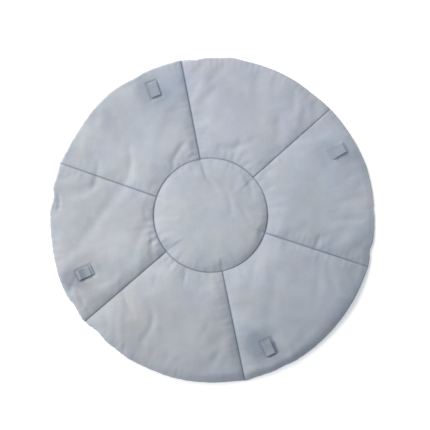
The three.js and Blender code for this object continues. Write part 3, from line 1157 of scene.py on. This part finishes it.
# %% Fade the dye
def write_dye_and_painted_shade(piece):
    """Per vertex: the sum over the patches, painted shade and light among them, of a bell curve times how
    much paler, warmer and redder each is. The sum fades to 0 down the side, so the underside keeps its plain
    colour."""
    points = vertex_places(piece.data)
    patches = np.array(PATCHES)
    distance = np.linalg.norm(points[:, None, :2] / MM - patches[None, :, :2], axis=-1)
    dye_and_painted_shade = np.exp(-((distance / patches[:, 2]) ** 2)) @ patches[:, 3:]
    dye_and_painted_shade *= smooth(points[:, 2:] / RIM_HEIGHT)
    dye_and_shade_values = piece.data.attributes.new("dye_and_painted_shade", "FLOAT_VECTOR", "POINT")
    dye_and_shade_values.data.foreach_set("vector", dye_and_painted_shade.ravel())


write_dye_and_painted_shade(mat)
print("the dye fades in", len(PATCHES), "patches")

# %% [markdown]
# ## Dark seams and painted shade
#
# Along a seam pulled tight the cloth shows a dark line, partly its dark stitches and partly shade in its
# valley, and this shade is painted into the cloth's colour. The same painted shade lies along the rim's edge
# and in the hollow round each strap. A vertex attribute says how dark the cloth is there, from 0 to 1. The
# tables give the darkest value of each seam, of the disc's seam and the rim at angles in degrees, and the
# shade falls smoothly to 0 within a few millimetres.


# %% Darken the seams
class PaintedShade(NamedTuple):
    """How dark the disc's seam line with its painted shade, or the rim's painted shade, is at one angle in
    degrees.
    """

    angle: float
    dark: float


# Painted shade, and on the seams their dark line too: how wide it spreads and how dark it is on each
SEAM_LINE_AND_SHADE_WIDTH = 4.2 * MM
RIM_PAINTED_SHADE_WIDTH = 3.5 * MM
STRAP_PAINTED_SHADE_WIDTH = 5 * MM
SEAM_LINE_AND_SHADE_DARKNESS = [0.5, 0.75, 0.6, 0.6, 0.75, 0.5]
DISC_LINE_AND_SHADE_DARKNESS = [
    PaintedShade(0, 0.75),
    PaintedShade(30, 0.3),
    PaintedShade(60, 0.45),
    PaintedShade(90, 0.15),
    PaintedShade(120, 0.25),
    PaintedShade(150, 0.8),
    PaintedShade(180, 1.0),
    PaintedShade(210, 0.65),
    PaintedShade(240, 0.5),
    PaintedShade(270, 0.1),
    PaintedShade(300, 0.2),
    PaintedShade(330, 0.5),
]
RIM_PAINTED_SHADE_DARKNESS = [
    PaintedShade(0, 0.1),
    PaintedShade(60, 0.2),
    PaintedShade(120, 0.4),
    PaintedShade(205, 0.55),
    PaintedShade(240, 0.9),
    PaintedShade(275, 0.9),
    PaintedShade(300, 0.5),
    PaintedShade(330, 0.2),
]


def write_painted_shade(piece):
    """Per vertex, the painted shade: the darkest of all seams, the rim and the straps' crevices, each with
    its strength times a soft step that falls to 0 beside it."""
    places = vertex_places(piece.data)
    points = places[:, :2] - SHIFT
    above = smooth(places[:, 2] / RIM_HEIGHT)
    (ring_shade,) = around(bearing(points - DISC_CENTRE), DISC_LINE_AND_SHADE_DARKNESS)
    (rim_shade,) = around(bearing(points), RIM_PAINTED_SHADE_DARKNESS)
    shade = ring_shade * (1 - smooth(distance_to_disc_seam(points) / SEAM_LINE_AND_SHADE_WIDTH))
    for strength, distance in zip(SEAM_LINE_AND_SHADE_DARKNESS, seam_distances(points)):
        shade = np.maximum(shade, strength * (1 - smooth(distance / SEAM_LINE_AND_SHADE_WIDTH)))
    shade = np.maximum(shade, rim_shade * (1 - smooth(distance_to_rim(points) / RIM_PAINTED_SHADE_WIDTH)))
    # The shade painted into each strap's hollow, moved with the hollow to the side where its shadow falls
    half = np.array([STRAP_LENGTH, STRAP_WIDTH]) / 2
    for strap in STRAPS:
        moved = to_strap(points, strap) - np.array([strap.ahead, strap.left]) * MM
        outside = np.linalg.norm(np.maximum(np.abs(moved) - half, 0), axis=-1)
        shade = np.maximum(shade, above * strap.painted_hollow_shade * (1 - smooth(outside / STRAP_PAINTED_SHADE_WIDTH)))
    write_painted_shade_of(piece.data, shade)
    print(piece.name, "is darkened at", np.count_nonzero(shade), "vertices")


write_painted_shade(mat)

# %% [markdown]
# ## Quilting thread
#
# The seams are sewn through the wadding, and their stitches lie at the bottom of the valleys. One stitch is a
# short capsule, thicker in its middle, and all of them are copies of it laid end to end along the seam
# lines with a small gap. They are one joined mesh, because a single stitch has only a few dozen faces.

# %% One stitch
STITCH_PITCH = 3.4 * MM
STITCH_LENGTH = 2.9 * MM
STITCH_RADIUS = 0.42 * MM
STITCH_SIDES = 6
STITCH_RINGS = 5
STITCH_POWER = 0.6


def stitch_shape():
    """A capsule along X, closed by a point at each end: its radius follows half a sine wave to a power."""
    share = np.linspace(0, 1, STITCH_RINGS + 2)[1:-1]
    radius = STITCH_RADIUS * np.sin(np.pi * share) ** STITCH_POWER
    angle = np.arange(STITCH_SIDES) * 2 * np.pi / STITCH_SIDES
    x = np.repeat((share - 0.5) * STITCH_LENGTH, STITCH_SIDES)
    y = (radius[:, None] * np.cos(angle)).ravel()
    z = (radius[:, None] * np.sin(angle)).ravel()
    tips = np.array([[-STITCH_LENGTH / 2, 0, 0], [STITCH_LENGTH / 2, 0, 0]])
    vertices = np.concatenate([np.column_stack([x, y, z]), tips])
    here = np.arange(STITCH_SIDES)
    after = (here + 1) % STITCH_SIDES
    faces = []
    for ring in range(STITCH_RINGS - 1):
        a, b = ring * STITCH_SIDES, (ring + 1) * STITCH_SIDES
        faces += np.stack([a + here, b + here, b + after, a + after], axis=1)[:, ::-1].tolist()
    first_tip, last_tip, last = len(x), len(x) + 1, (STITCH_RINGS - 1) * STITCH_SIDES
    faces += np.stack([np.full(STITCH_SIDES, first_tip), after, here], axis=1)[:, ::-1].tolist()
    faces += np.stack([np.full(STITCH_SIDES, last_tip), last + here, last + after], axis=1)[:, ::-1].tolist()
    return vertices, faces


print("one stitch has", len(stitch_shape()[0]), "vertices")


# %% Lay the stitches
def stitches_along(path, pitch):
    """Centres and headings of stitches at an even pitch along a polyline in space."""
    steps = np.linalg.norm(np.diff(path, axis=0), axis=1)
    travelled = np.concatenate([[0], np.cumsum(steps)])
    count = int(travelled[-1] / pitch)
    where = (np.arange(count) + 0.5) * travelled[-1] / count
    ahead = where + pitch / 4
    centre = np.column_stack([np.interp(where, travelled, path[:, k]) for k in range(3)])
    front = np.column_stack([np.interp(ahead, travelled, path[:, k]) for k in range(3)])
    heading = front - centre
    return centre, heading / np.linalg.norm(heading, axis=1)[:, None]


def lay_stitches(name, paths, scale=1.0):
    """One mesh of all stitches: each capsule turned to its heading, with its top kept upwards."""
    shape, faces = stitch_shape()
    shape = shape * scale
    rows = [stitches_along(path, STITCH_PITCH * scale) for path in paths]
    centres, headings = (np.concatenate(part) for part in zip(*rows))
    across = np.cross([0, 0, 1], headings)
    across /= np.linalg.norm(across, axis=1)[:, None]
    upward = np.cross(headings, across)
    basis = np.stack([headings, across, upward], axis=1)
    vertices = centres[:, None] + np.einsum("vk,nkc->nvc", shape, basis)
    offsets = np.arange(len(centres)) * len(shape)
    all_faces = []
    for size in (3, 4):
        same = np.array([face for face in faces if len(face) == size])
        all_faces += (offsets[:, None, None] + same[None]).reshape(-1, size).tolist()
    made = new_object(name, vertices.reshape(-1, 3), all_faces)
    print(name, "holds", len(centres), "stitches")
    return made


# %% Quilt the mat
THREAD_LIFT = 0.3 * MM
SEWN_FROM, SEWN_TO = 0.004, 0.985
SEAM_STEPS, RING_STEPS = 120, 400


def seam_paths():
    """The six radial seams and the closed seam round the disc, with the thread half sunk in the valley."""
    share = np.linspace(SEWN_FROM, SEWN_TO, SEAM_STEPS)[:, None]
    lines = [start + share * (end - start) for start, end in zip(seam_starts, seam_ends)]
    lines.append(DISC_CENTRE + DISC_RADIUS * direction(np.linspace(0, 2 * np.pi, RING_STEPS)))
    return [np.column_stack([line + SHIFT, top_height(line) - VALLEY_DEPTH + THREAD_LIFT]) for line in lines]


quilting = lay_stitches("quilting_thread", seam_paths())

# %% [markdown]
# ## The folded straps
#
# A strap is a flat tube of the mat's cotton, turned, pressed and folded over once. Its surface is a thin
# section carried along a path: out along the lower layer, round the fold and back along the upper layer.
# The section is a flattened loop, a little thicker at both edges, where the cloth is folded in. Handling has
# left each strap a little different: one fold is puffed up, and another strap's upper layer stands off on one
# side.

# %% The path and section of a strap
STRAP_LAYER = 1.8 * MM
STRAP_GAP = 0.6 * MM
STRAP_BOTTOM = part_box("strap_upper_right")[0][2]
PATH_STEPS = 120
SECTION_STEPS = 56
END_ROUNDING = 0.9 * MM
EDGE_HEM = 4 * MM
PRESSED_FROM = 0.6
LAYER_STEPS = 40
TURN_STEPS = 23
LOOP_POWER = 0.35
HEM_DIP, MIDDLE_RISE = 0.22, 0.1
END_NARROWING = 0.04
END_STEP, END_CROWDING = 0.25, 0.03
MERGE_DISTANCE = 0.002 * MM


def strap_path(strap):
    """Middle line of the strap in its own X and Z: lower layer, half circle at the fold, upper layer.
    The upper layer sinks from the puffed fold to where it is pressed, and rises again to its free end.
    Returned with the distance along it and with how far along the upper layer each point lies, 0 to 1."""
    puff, lift = strap.puff * MM, strap.lift * MM
    radius = (STRAP_LAYER + STRAP_GAP + puff) / 2
    fold_x = STRAP_LENGTH / 2 - radius - STRAP_LAYER / 2
    low = STRAP_LAYER / 2
    turn = np.linspace(-np.pi / 2, np.pi / 2, TURN_STEPS + 2)[1:-1]
    back = np.linspace(0, 1, LAYER_STEPS)
    free_x = -STRAP_LENGTH / 2 + strap.setback * MM
    rise = puff * (1 - smooth(back / PRESSED_FROM))
    rise += lift * smooth((back - PRESSED_FROM) / (1 - PRESSED_FROM))
    corners = np.concatenate([
        np.column_stack([np.linspace(-STRAP_LENGTH / 2, fold_x, LAYER_STEPS), np.full(LAYER_STEPS, low)]),
        np.column_stack([fold_x + radius * np.cos(turn), low + radius + radius * np.sin(turn)]),
        np.column_stack([fold_x + back * (free_x - fold_x), low + STRAP_LAYER + STRAP_GAP + rise]),
    ])
    steps = np.linalg.norm(np.diff(corners, axis=0), axis=1)
    travelled = np.concatenate([[0], np.cumsum(steps)])
    where = crowded(np.linspace(0, 1, PATH_STEPS), END_STEP, END_CROWDING) * travelled[-1]
    path = np.column_stack([np.interp(where, travelled, corners[:, k]) for k in range(2)])
    fold_end = travelled[LAYER_STEPS + TURN_STEPS - 1]
    upper = np.clip((where - fold_end) / (travelled[-1] - fold_end), 0, 1)
    return path, where, upper


def strap_section():
    """A closed flat loop, from -1 to 1 across the width and from -1 to 1 above and below the middle: cosine
    and sine, each to a power below 1 with its sign kept, which squares the circle."""
    angle = np.arange(SECTION_STEPS) * 2 * np.pi / SECTION_STEPS
    across, above = (np.sign(wave) * np.abs(wave) ** LOOP_POWER for wave in (np.cos(angle), np.sin(angle)))
    return across, above


def strap_normals(path):
    """Unit vectors that stand on the path, pointing out of the upper layer's top."""
    ahead = np.gradient(path, axis=0)
    ahead /= np.linalg.norm(ahead, axis=1)[:, None]
    return np.column_stack([ahead[:, 1], -ahead[:, 0]])


print("a strap's path has", PATH_STEPS, "steps, and its section", SECTION_STEPS)


# %% The surface of a strap
def strap_lean(strap, y, upper):
    """How much higher the upper layer stands at one edge, in metres: in proportion to the place across the
    strap and fading in behind the fold."""
    return strap.lean * MM * smooth(upper) * (y / STRAP_WIDTH + 0.5 * np.sign(strap.lean))


def strap_surface(strap):
    """Section carried along the path, swollen at the hemmed edges, pressed between them and closed at both
    ends."""
    path, travelled, upper = strap_path(strap)
    across, above = strap_section()
    normal = strap_normals(path)
    from_end = np.minimum(travelled, travelled[-1] - travelled)
    rounding = roll(from_end, END_ROUNDING)
    sideways = across * STRAP_WIDTH / 2
    from_edge = STRAP_WIDTH / 2 - np.abs(sideways)
    hem = 1 - HEM_DIP * smooth(from_edge / EDGE_HEM) + MIDDLE_RISE * smooth((from_edge - EDGE_HEM) / EDGE_HEM)
    offset = rounding[:, None] * (STRAP_LAYER / 2 * hem * above)[None]
    x = path[:, 0, None] + normal[:, 0, None] * offset
    z = path[:, 1, None] + normal[:, 1, None] * offset + strap_lean(strap, sideways[None], upper[:, None])
    narrowing = 1 - END_NARROWING * (1 - roll(from_end, 3 * END_ROUNDING))
    y = np.broadcast_to(sideways, x.shape) * narrowing[:, None]
    return np.stack([x, y, z], axis=-1), travelled


def put_in_place(local, strap):
    """Turns points of a strap to its direction and moves them to its seat."""
    angle = np.radians(strap.direction)
    along, across = direction(angle), direction(angle + np.pi / 2)
    plan = local[..., :1] * along + local[..., 1:2] * across + np.array([strap.x, strap.y]) * MM + SHIFT
    return np.concatenate([plan, local[..., 2:] + STRAP_BOTTOM], axis=-1)


# %% Build the straps
def build_strap(strap):
    """Makes one strap as a closed tube, with weave coordinates along its path and across it."""
    grid, travelled = strap_surface(strap)
    vertices = put_in_place(grid, strap).reshape(-1, 3)
    row = np.arange(PATH_STEPS - 1)[:, None] * SECTION_STEPS
    column = np.arange(SECTION_STEPS)[None]
    after = (column + 1) % SECTION_STEPS
    here, there = row + column, row + after
    faces = np.stack([here, there, there + SECTION_STEPS, here + SECTION_STEPS], axis=-1)
    made = new_object(strap.node + "_cloth", vertices, faces.reshape(-1, 4).tolist())
    weave = np.stack(np.broadcast_arrays(travelled[:, None], grid[..., 1]), axis=-1).reshape(-1, 2)
    corner = corner_vertices(made.data)
    made.data.uv_layers.new(name="weave").data.foreach_set("uv", weave[corner].ravel())
    close_ends(made)
    return made


def close_ends(piece):
    """Merges the coinciding points where the rounded ends run out to a line."""
    shell = bmesh.new()
    shell.from_mesh(piece.data)
    bmesh.ops.remove_doubles(shell, verts=shell.verts, dist=MERGE_DISTANCE)
    bmesh.ops.recalc_face_normals(shell, faces=shell.faces)
    open_edges = sum(edge.is_boundary for edge in shell.edges)
    shell.to_mesh(piece.data)
    shell.free()
    piece.data.shade_smooth()
    print(piece.name, "has", open_edges, "open edges")


straps = [build_strap(strap) for strap in STRAPS]
for piece in straps:
    write_dye_and_painted_shade(piece)

# %% The painted shade on one strap's pressed middle
SHADED_STRAP = 2
PRESSED_MIDDLE = np.array([1.5, 0]) * MM
PRESSED_HALF = np.array([14.5, 12.5]) * MM
PRESSED_EDGE = 1 * MM
PRESSED_PAINTED_SHADE = 0.6


def write_pressed_painted_shade(piece, strap):
    """How dark the shade painted on the upper layer's pressed middle is: full inside its rectangle, falling
    to 0 beyond its edge.
    """
    points = vertex_places(piece.data)
    local = to_strap(points[:, :2] - SHIFT, strap) - PRESSED_MIDDLE
    outside = np.linalg.norm(np.maximum(np.abs(local) - PRESSED_HALF, 0), axis=-1)
    above = points[:, 2] > STRAP_BOTTOM + STRAP_LAYER + STRAP_GAP
    write_painted_shade_of(piece.data, PRESSED_PAINTED_SHADE * above * (1 - smooth(outside / PRESSED_EDGE)))


# The pressed middle of this strap's upper layer slopes away from the light, and its shade is painted in too
write_pressed_painted_shade(straps[SHADED_STRAP], STRAPS[SHADED_STRAP])
print(straps[SHADED_STRAP].name, "has a darker pad")

# %% [markdown]
# ## Topstitching on the straps
#
# A row of small stitches runs along each long edge of a strap and across its free end, and holds the turned
# edges flat. The row lies on the upper layer, so its path is the strap's own path moved outwards.

# %% Stitch the straps
STRAP_STITCH_INSET = 2.6 * MM
STRAP_STITCH_SCALE = 0.62
STITCH_SINK = 0.93
ROW_FROM = 0.03
END_ROW_STEPS = 18


def strap_rows(strap):
    """One open row: down one edge, across the free end and back along the other edge."""
    path, travelled, upper = strap_path(strap)
    top = path + strap_normals(path) * (STRAP_LAYER / 2 * STITCH_SINK)
    edge = STRAP_WIDTH / 2 - STRAP_STITCH_INSET
    keep = (upper > ROW_FROM) & (travelled < travelled[-1] - STRAP_STITCH_INSET)
    x, z, share = (
        np.concatenate([down, np.full(END_ROW_STEPS, down[-1]), down[::-1]])
        for down in (top[keep, 0], top[keep, 1], upper[keep])
    )
    end_y = np.linspace(edge, -edge, END_ROW_STEPS + 2)[1:-1]
    y = np.concatenate([np.full(keep.sum(), edge), end_y, np.full(keep.sum(), -edge)])
    return put_in_place(np.column_stack([x, y, z + strap_lean(strap, y, share)]), strap)


strap_stitches = lay_stitches("strap_thread", [strap_rows(strap) for strap in STRAPS], STRAP_STITCH_SCALE)

# %% [markdown]
# ## Shader maths as Python
#
# A node setup is easier to read as arithmetic. The small class below wraps a socket, and its operators add
# the Math nodes, so `1 - mask` or `a * b + c` read as they would on paper. Every other node comes from one
# method that takes its type, settings and inputs.


# %% A wrapper for sockets
class Socket:
    """One output of a shader node that can be used in arithmetic."""

    def __init__(self, tree, output):
        self.tree, self.output = tree, output

    def math(self, operation, other=None, swap=False):
        """A Math node on this value and another one, in either order."""
        values = [self] if other is None else [other, self] if swap else [self, other]
        return self.tree.node("ShaderNodeMath", {"operation": operation}, dict(enumerate(values)))["Value"]

    def __add__(self, other):
        return self.math("ADD", other)

    def __radd__(self, other):
        return self.math("ADD", other, swap=True)

    def __sub__(self, other):
        return self.math("SUBTRACT", other)

    def __rsub__(self, other):
        return self.math("SUBTRACT", other, swap=True)

    def __mul__(self, other):
        return self.math("MULTIPLY", other)

    def __rmul__(self, other):
        return self.math("MULTIPLY", other, swap=True)

    def sine(self):
        return self.math("SINE")

    def size(self):
        return self.math("ABSOLUTE")


class Outputs:
    """The outputs of one node, read by name."""

    def __init__(self, tree, made):
        self.tree, self.made = tree, made

    def __getitem__(self, name):
        return Socket(self.tree, self.made.outputs[name])


class Finish:
    """A material whose nodes are added by one method."""

    def __init__(self, name):
        self.material = bpy.data.materials.new(name)
        self.material.use_nodes = True
        self.nodes = self.material.node_tree.nodes
        self.nodes.clear()

    def node(self, kind, settings=None, inputs=None):
        """Adds a node, sets its settings first, then fills or links its inputs."""
        made = self.nodes.new(kind)
        for name, value in (settings or {}).items():
            setattr(made, name, value)
        for name, value in (inputs or {}).items():
            if isinstance(value, Socket):
                self.material.node_tree.links.new(value.output, made.inputs[name])
            else:
                made.inputs[name].default_value = value
        return Outputs(self, made)

    def mix(self, share, first, second):
        """A Mix node between two colours, each a tuple or a socket."""
        first, second = (c if isinstance(c, Socket) else (*c, 1) for c in (first, second))
        made = self.node("ShaderNodeMix", {"data_type": "RGBA"}, {0: share, 6: first, 7: second})
        return Socket(self, made.made.outputs[2])

    def tint(self, first, second):
        """The product of two colours."""
        settings = {"data_type": "RGBA", "blend_type": "MULTIPLY"}
        made = self.node("ShaderNodeMix", settings, {0: 1, 6: first, 7: second})
        return Socket(self, made.made.outputs[2])

    def surface(self, shader):
        """Ends the material in its output."""
        self.node("ShaderNodeOutputMaterial", {}, {"Surface": shader})
        return self.material


# %% [markdown]
# ## Cotton
#
# The cover is a plain weave. Seen close, each thread passes over one neighbour and under the next, which a
# product of two sine waves gives: its bumps stand in a chequerboard like the crossings of the threads. Slubs,
# the thicker stretches of a thread, are noise drawn out along the threads. Soft crumples are broad, low
# noise. The tone wanders between pale and deep, and two tints over it between cool and warm and between green
# and lilac, each by noise plus its part of the attribute of tone and painted shade. The painted shade of the
# seams, the rim, the straps' hollows and one strap's pressed middle comes last; along the seams it stands
# for their dark stitch lines too. Worn cotton scatters light at grazing angles, which the sheen gives.

# %% The cotton finish
THREAD_PITCH = 0.9 * MM
SLUB_LENGTH = 14 * MM
CRUMPLE_SIZE = 26 * MM
WARM_TINT = (1.06, 1.0, 0.93)
COOL_TINT = (0.93, 1.0, 1.08)
LILAC_TINT = (1.024, 0.98, 1.024)
GREEN_TINT = (0.976, 1.02, 0.976)
# The colour that the painted shade mixes in, a dark blue-grey
PAINTED_SHADE_TINT = (0.46, 0.52, 0.62)
# How broad and how strong the noise is in each of the three ways that the colour wanders
TONE_SIZE, TONE_SWING, SLUB_SWING, TONE_MIDDLE = 60 * MM, 0.55, 0.14, 0.39
WARMTH_SIZE, WARMTH_SWING = 95 * MM, 1.2
REDNESS_SIZE, REDNESS_SWING = 70 * MM, 0.9


def cotton(name, pale, deep, crumple_depth):
    """Plain-woven cotton between two close tones, tinted unevenly and darkened by painted shade, on the
    piece's own weave map in metres.
    """
    finish = Finish(name)
    weave = finish.node("ShaderNodeUVMap", {"uv_map": "weave"})["UV"]
    axes = finish.node("ShaderNodeSeparateXYZ", {}, {"Vector": weave})
    x, y = axes["X"], axes["Y"]
    crossing = (x * (np.pi / THREAD_PITCH)).sine() * (y * (np.pi / THREAD_PITCH)).sine()

    def slubs(long_axis):
        scale = [1 / (2 * THREAD_PITCH)] * 3
        scale[long_axis] = 1 / SLUB_LENGTH
        drawn = finish.node("ShaderNodeMapping", {}, {"Vector": weave, "Scale": scale})["Vector"]
        return finish.node("ShaderNodeTexNoise", {}, {"Vector": drawn, "Scale": 1.0, "Detail": 2.0})["Fac"]

    place_on_cloth = finish.node("ShaderNodeTexCoord")["Object"]

    def noise(size, detail):
        inputs = {"Vector": place_on_cloth, "Scale": 1 / size, "Detail": detail, "Roughness": 0.5}
        return finish.node("ShaderNodeTexNoise", {}, inputs)["Fac"]

    def attribute(name, output):
        return finish.node("ShaderNodeAttribute", {"attribute_name": name})[output]

    slub = slubs(0) + slubs(1)
    threads = crossing.size() * 0.6 + slub * 0.4
    crumples = noise(CRUMPLE_SIZE, 3.0)
    weaving = {"Strength": 0.35, "Distance": 0.25 * MM, "Height": threads}
    fine = finish.node("ShaderNodeBump", {}, weaving)["Normal"]
    crumpling = {"Strength": 0.6, "Distance": crumple_depth, "Height": crumples, "Normal": fine}
    relief = finish.node("ShaderNodeBump", {}, crumpling)["Normal"]

    dye_and_painted_shade = finish.node("ShaderNodeSeparateXYZ", {}, {"Vector": attribute("dye_and_painted_shade", "Vector")})
    uneven = (noise(TONE_SIZE, 4.0) - 0.5) * TONE_SWING + slub * SLUB_SWING + TONE_MIDDLE + dye_and_painted_shade["X"]
    warmth = (noise(WARMTH_SIZE, 4.0) - 0.5) * WARMTH_SWING + 0.5 + dye_and_painted_shade["Y"]
    redness = (noise(REDNESS_SIZE, 3.0) - 0.5) * REDNESS_SWING + 0.5 + dye_and_painted_shade["Z"]
    tone = finish.mix(uneven, deep, pale)
    tinted = finish.tint(tone, finish.mix(warmth, COOL_TINT, WARM_TINT))
    reddened = finish.tint(tinted, finish.mix(redness, GREEN_TINT, LILAC_TINT))
    # Painted shade of the seams, rim, straps' hollows and the pressed strap middle, mixed into the colour
    darkened = finish.mix(attribute("stitch_line_and_painted_shade", "Fac"), (1, 1, 1), PAINTED_SHADE_TINT)
    colour = finish.tint(reddened, darkened)
    shader = finish.node(
        "ShaderNodeBsdfPrincipled",
        {},
        {
            "Base Color": colour,
            "Roughness": 0.9 - threads * 0.1,
            "Normal": relief,
            "Specular IOR Level": 0.25,
            "Sheen Weight": 0.12,
            "Sheen Roughness": 0.5,
        },
    )["BSDF"]
    return finish.surface(shader)


COVER_PALE = (0.485, 0.524, 0.587)
COVER_DEEP = (0.273, 0.300, 0.349)
STRAP_PALE = (0.424, 0.459, 0.511)
STRAP_DEEP = (0.267, 0.295, 0.337)

cover_cotton = cotton("cover_cotton", COVER_PALE, COVER_DEEP, crumple_depth=1.2 * MM)
strap_cotton = cotton("strap_cotton", STRAP_PALE, STRAP_DEEP, crumple_depth=0.8 * MM)
print("the cover's cotton has", len(cover_cotton.node_tree.nodes), "nodes")

# %% [markdown]
# ## Thread
#
# Sewing thread is two or three plies twisted together. The twist shows as slanted bands along each stitch,
# with painted shade in the grooves between the plies.


# %% The thread finish
PLY_LENGTH = 0.5 * MM


def thread(name, light, dark):
    """Twisted thread: slanted bands between two tints, the darker one painted shade in the low grooves, and a
    little gloss.
    """
    finish = Finish(name)
    here = finish.node("ShaderNodeTexCoord")["Object"]
    axes = finish.node("ShaderNodeSeparateXYZ", {}, {"Vector": here})
    twist = ((axes["X"] + axes["Y"] + axes["Z"]) * (2 * np.pi / PLY_LENGTH)).sine() * 0.5 + 0.5
    plies = {"Strength": 0.5, "Distance": 0.1 * MM, "Height": twist}
    inputs = {
        # The colour follows the twist's height: the dark tint is painted shade in the grooves between the
        # plies
        "Base Color": finish.mix(twist, dark, light),
        "Roughness": 0.6,
        "Normal": finish.node("ShaderNodeBump", {}, plies)["Normal"],
    }
    return finish.surface(finish.node("ShaderNodeBsdfPrincipled", {}, inputs)["BSDF"])


sewing_thread = thread("sewing_thread", light=(0.24, 0.28, 0.34), dark=(0.18, 0.21, 0.265))
print("the thread's finish is", sewing_thread.name)

# %% [markdown]
# ## Riding on the frame
#
# Each piece takes the place of its solid, rides on the mat's one body and is given its material.

# %% Place every piece
mat.data.materials.append(cover_cotton)
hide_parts("padded_mat")
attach(mat, "root")

for piece, slot in ((quilting, "cover_cotton"), (strap_stitches, "strap_cotton")):
    piece.data.materials.append(sewing_thread)
    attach(piece, "root")

for strap, piece in zip(STRAPS, straps):
    piece.data.materials.append(strap_cotton)
    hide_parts(strap.node)
    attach(piece, "root")
print("the mat, its", len(straps), "straps and two meshes of thread ride on the frame")

# %% [markdown]
# ## Floor, light and camera
#
# The mat lies on a plain white floor, seen straight from above. Two large soft lamps stand at the upper left
# and the left, like a window and the wall beside it, and a pale sky fills the shadows, which leaves only a
# faint shade past the lower right rim. The floor glows a little, so that it looks as white as paper.

# %% The floor
FLOOR_HALF, FLOOR_LEVEL = 4, -0.5 * MM
FLOOR_WHITE, FLOOR_GLOW = 0.93, 0.33

corners = np.array([[-1, -1], [1, -1], [1, 1], [-1, 1]]) * FLOOR_HALF
floor = new_object("floor", np.column_stack([corners, np.full(4, FLOOR_LEVEL)]), [[0, 1, 2, 3]])
floor_finish = Finish("white_floor")
paint = floor_finish.node("ShaderNodeBsdfDiffuse", {}, {"Color": (*[FLOOR_WHITE] * 3, 1)})["BSDF"]
glow = floor_finish.node("ShaderNodeEmission", {}, {"Color": (1, 1, 1, 1), "Strength": FLOOR_GLOW})
lit_paint = floor_finish.node("ShaderNodeAddShader", {}, {0: paint, 1: glow["Emission"]})["Shader"]
floor.data.materials.append(floor_finish.surface(lit_paint))
print("the floor is", 2 * FLOOR_HALF, "m wide")


# %% The light
def area_light(name, place_at, size, power, colour):
    """A square soft light that looks at the middle of the mat."""
    lamp = bpy.data.lights.new(name, "AREA")
    lamp.shape, lamp.size, lamp.energy, lamp.color = "SQUARE", size, power, colour
    made = bpy.data.objects.new(name, lamp)
    bpy.context.scene.collection.objects.link(made)
    made.location = place_at
    away = np.array(place_at)
    made.rotation_euler = (
        np.arctan2(np.hypot(away[0], away[1]), away[2]),
        0,
        np.arctan2(away[1], away[0]) + np.pi / 2,
    )
    return made


WARM_LIGHT, SKY_LIGHT, SKY_STRENGTH = (1.0, 0.945, 0.88), (0.82, 0.91, 1, 1), 0.385

window_light = area_light("window_light", (-1.69, 2.93, 1.95), 2.6, 167, WARM_LIGHT)
area_light("side_light", (-3.22, -0.57, 2.12), 2.4, 93, WARM_LIGHT)
world = bpy.data.worlds.new("soft_room")
world.use_nodes = True
sky = world.node_tree.nodes["Background"].inputs
sky["Color"].default_value = SKY_LIGHT
sky["Strength"].default_value = SKY_STRENGTH
bpy.context.scene.world = world
bpy.context.scene.view_settings.view_transform = "Standard"
print("the window light stands", round(window_light.location.length, 2), "m from the middle of the mat")

# %% The camera
VIEW_WIDTH = 1.323
LENS, SENSOR = 100, 36
VIEW_MIDDLE = np.array([8.3, 16.3]) * MM + SHIFT

camera = bpy.data.objects.new("camera", bpy.data.cameras.new("camera"))
bpy.context.scene.collection.objects.link(camera)
camera.data.lens, camera.data.sensor_width = LENS, SENSOR
camera.location = (*VIEW_MIDDLE, VIEW_WIDTH * LENS / SENSOR)
camera.data.clip_end = 50
bpy.context.scene.camera = camera
print("the camera is", round(camera.location.z, 2), "m above the floor")
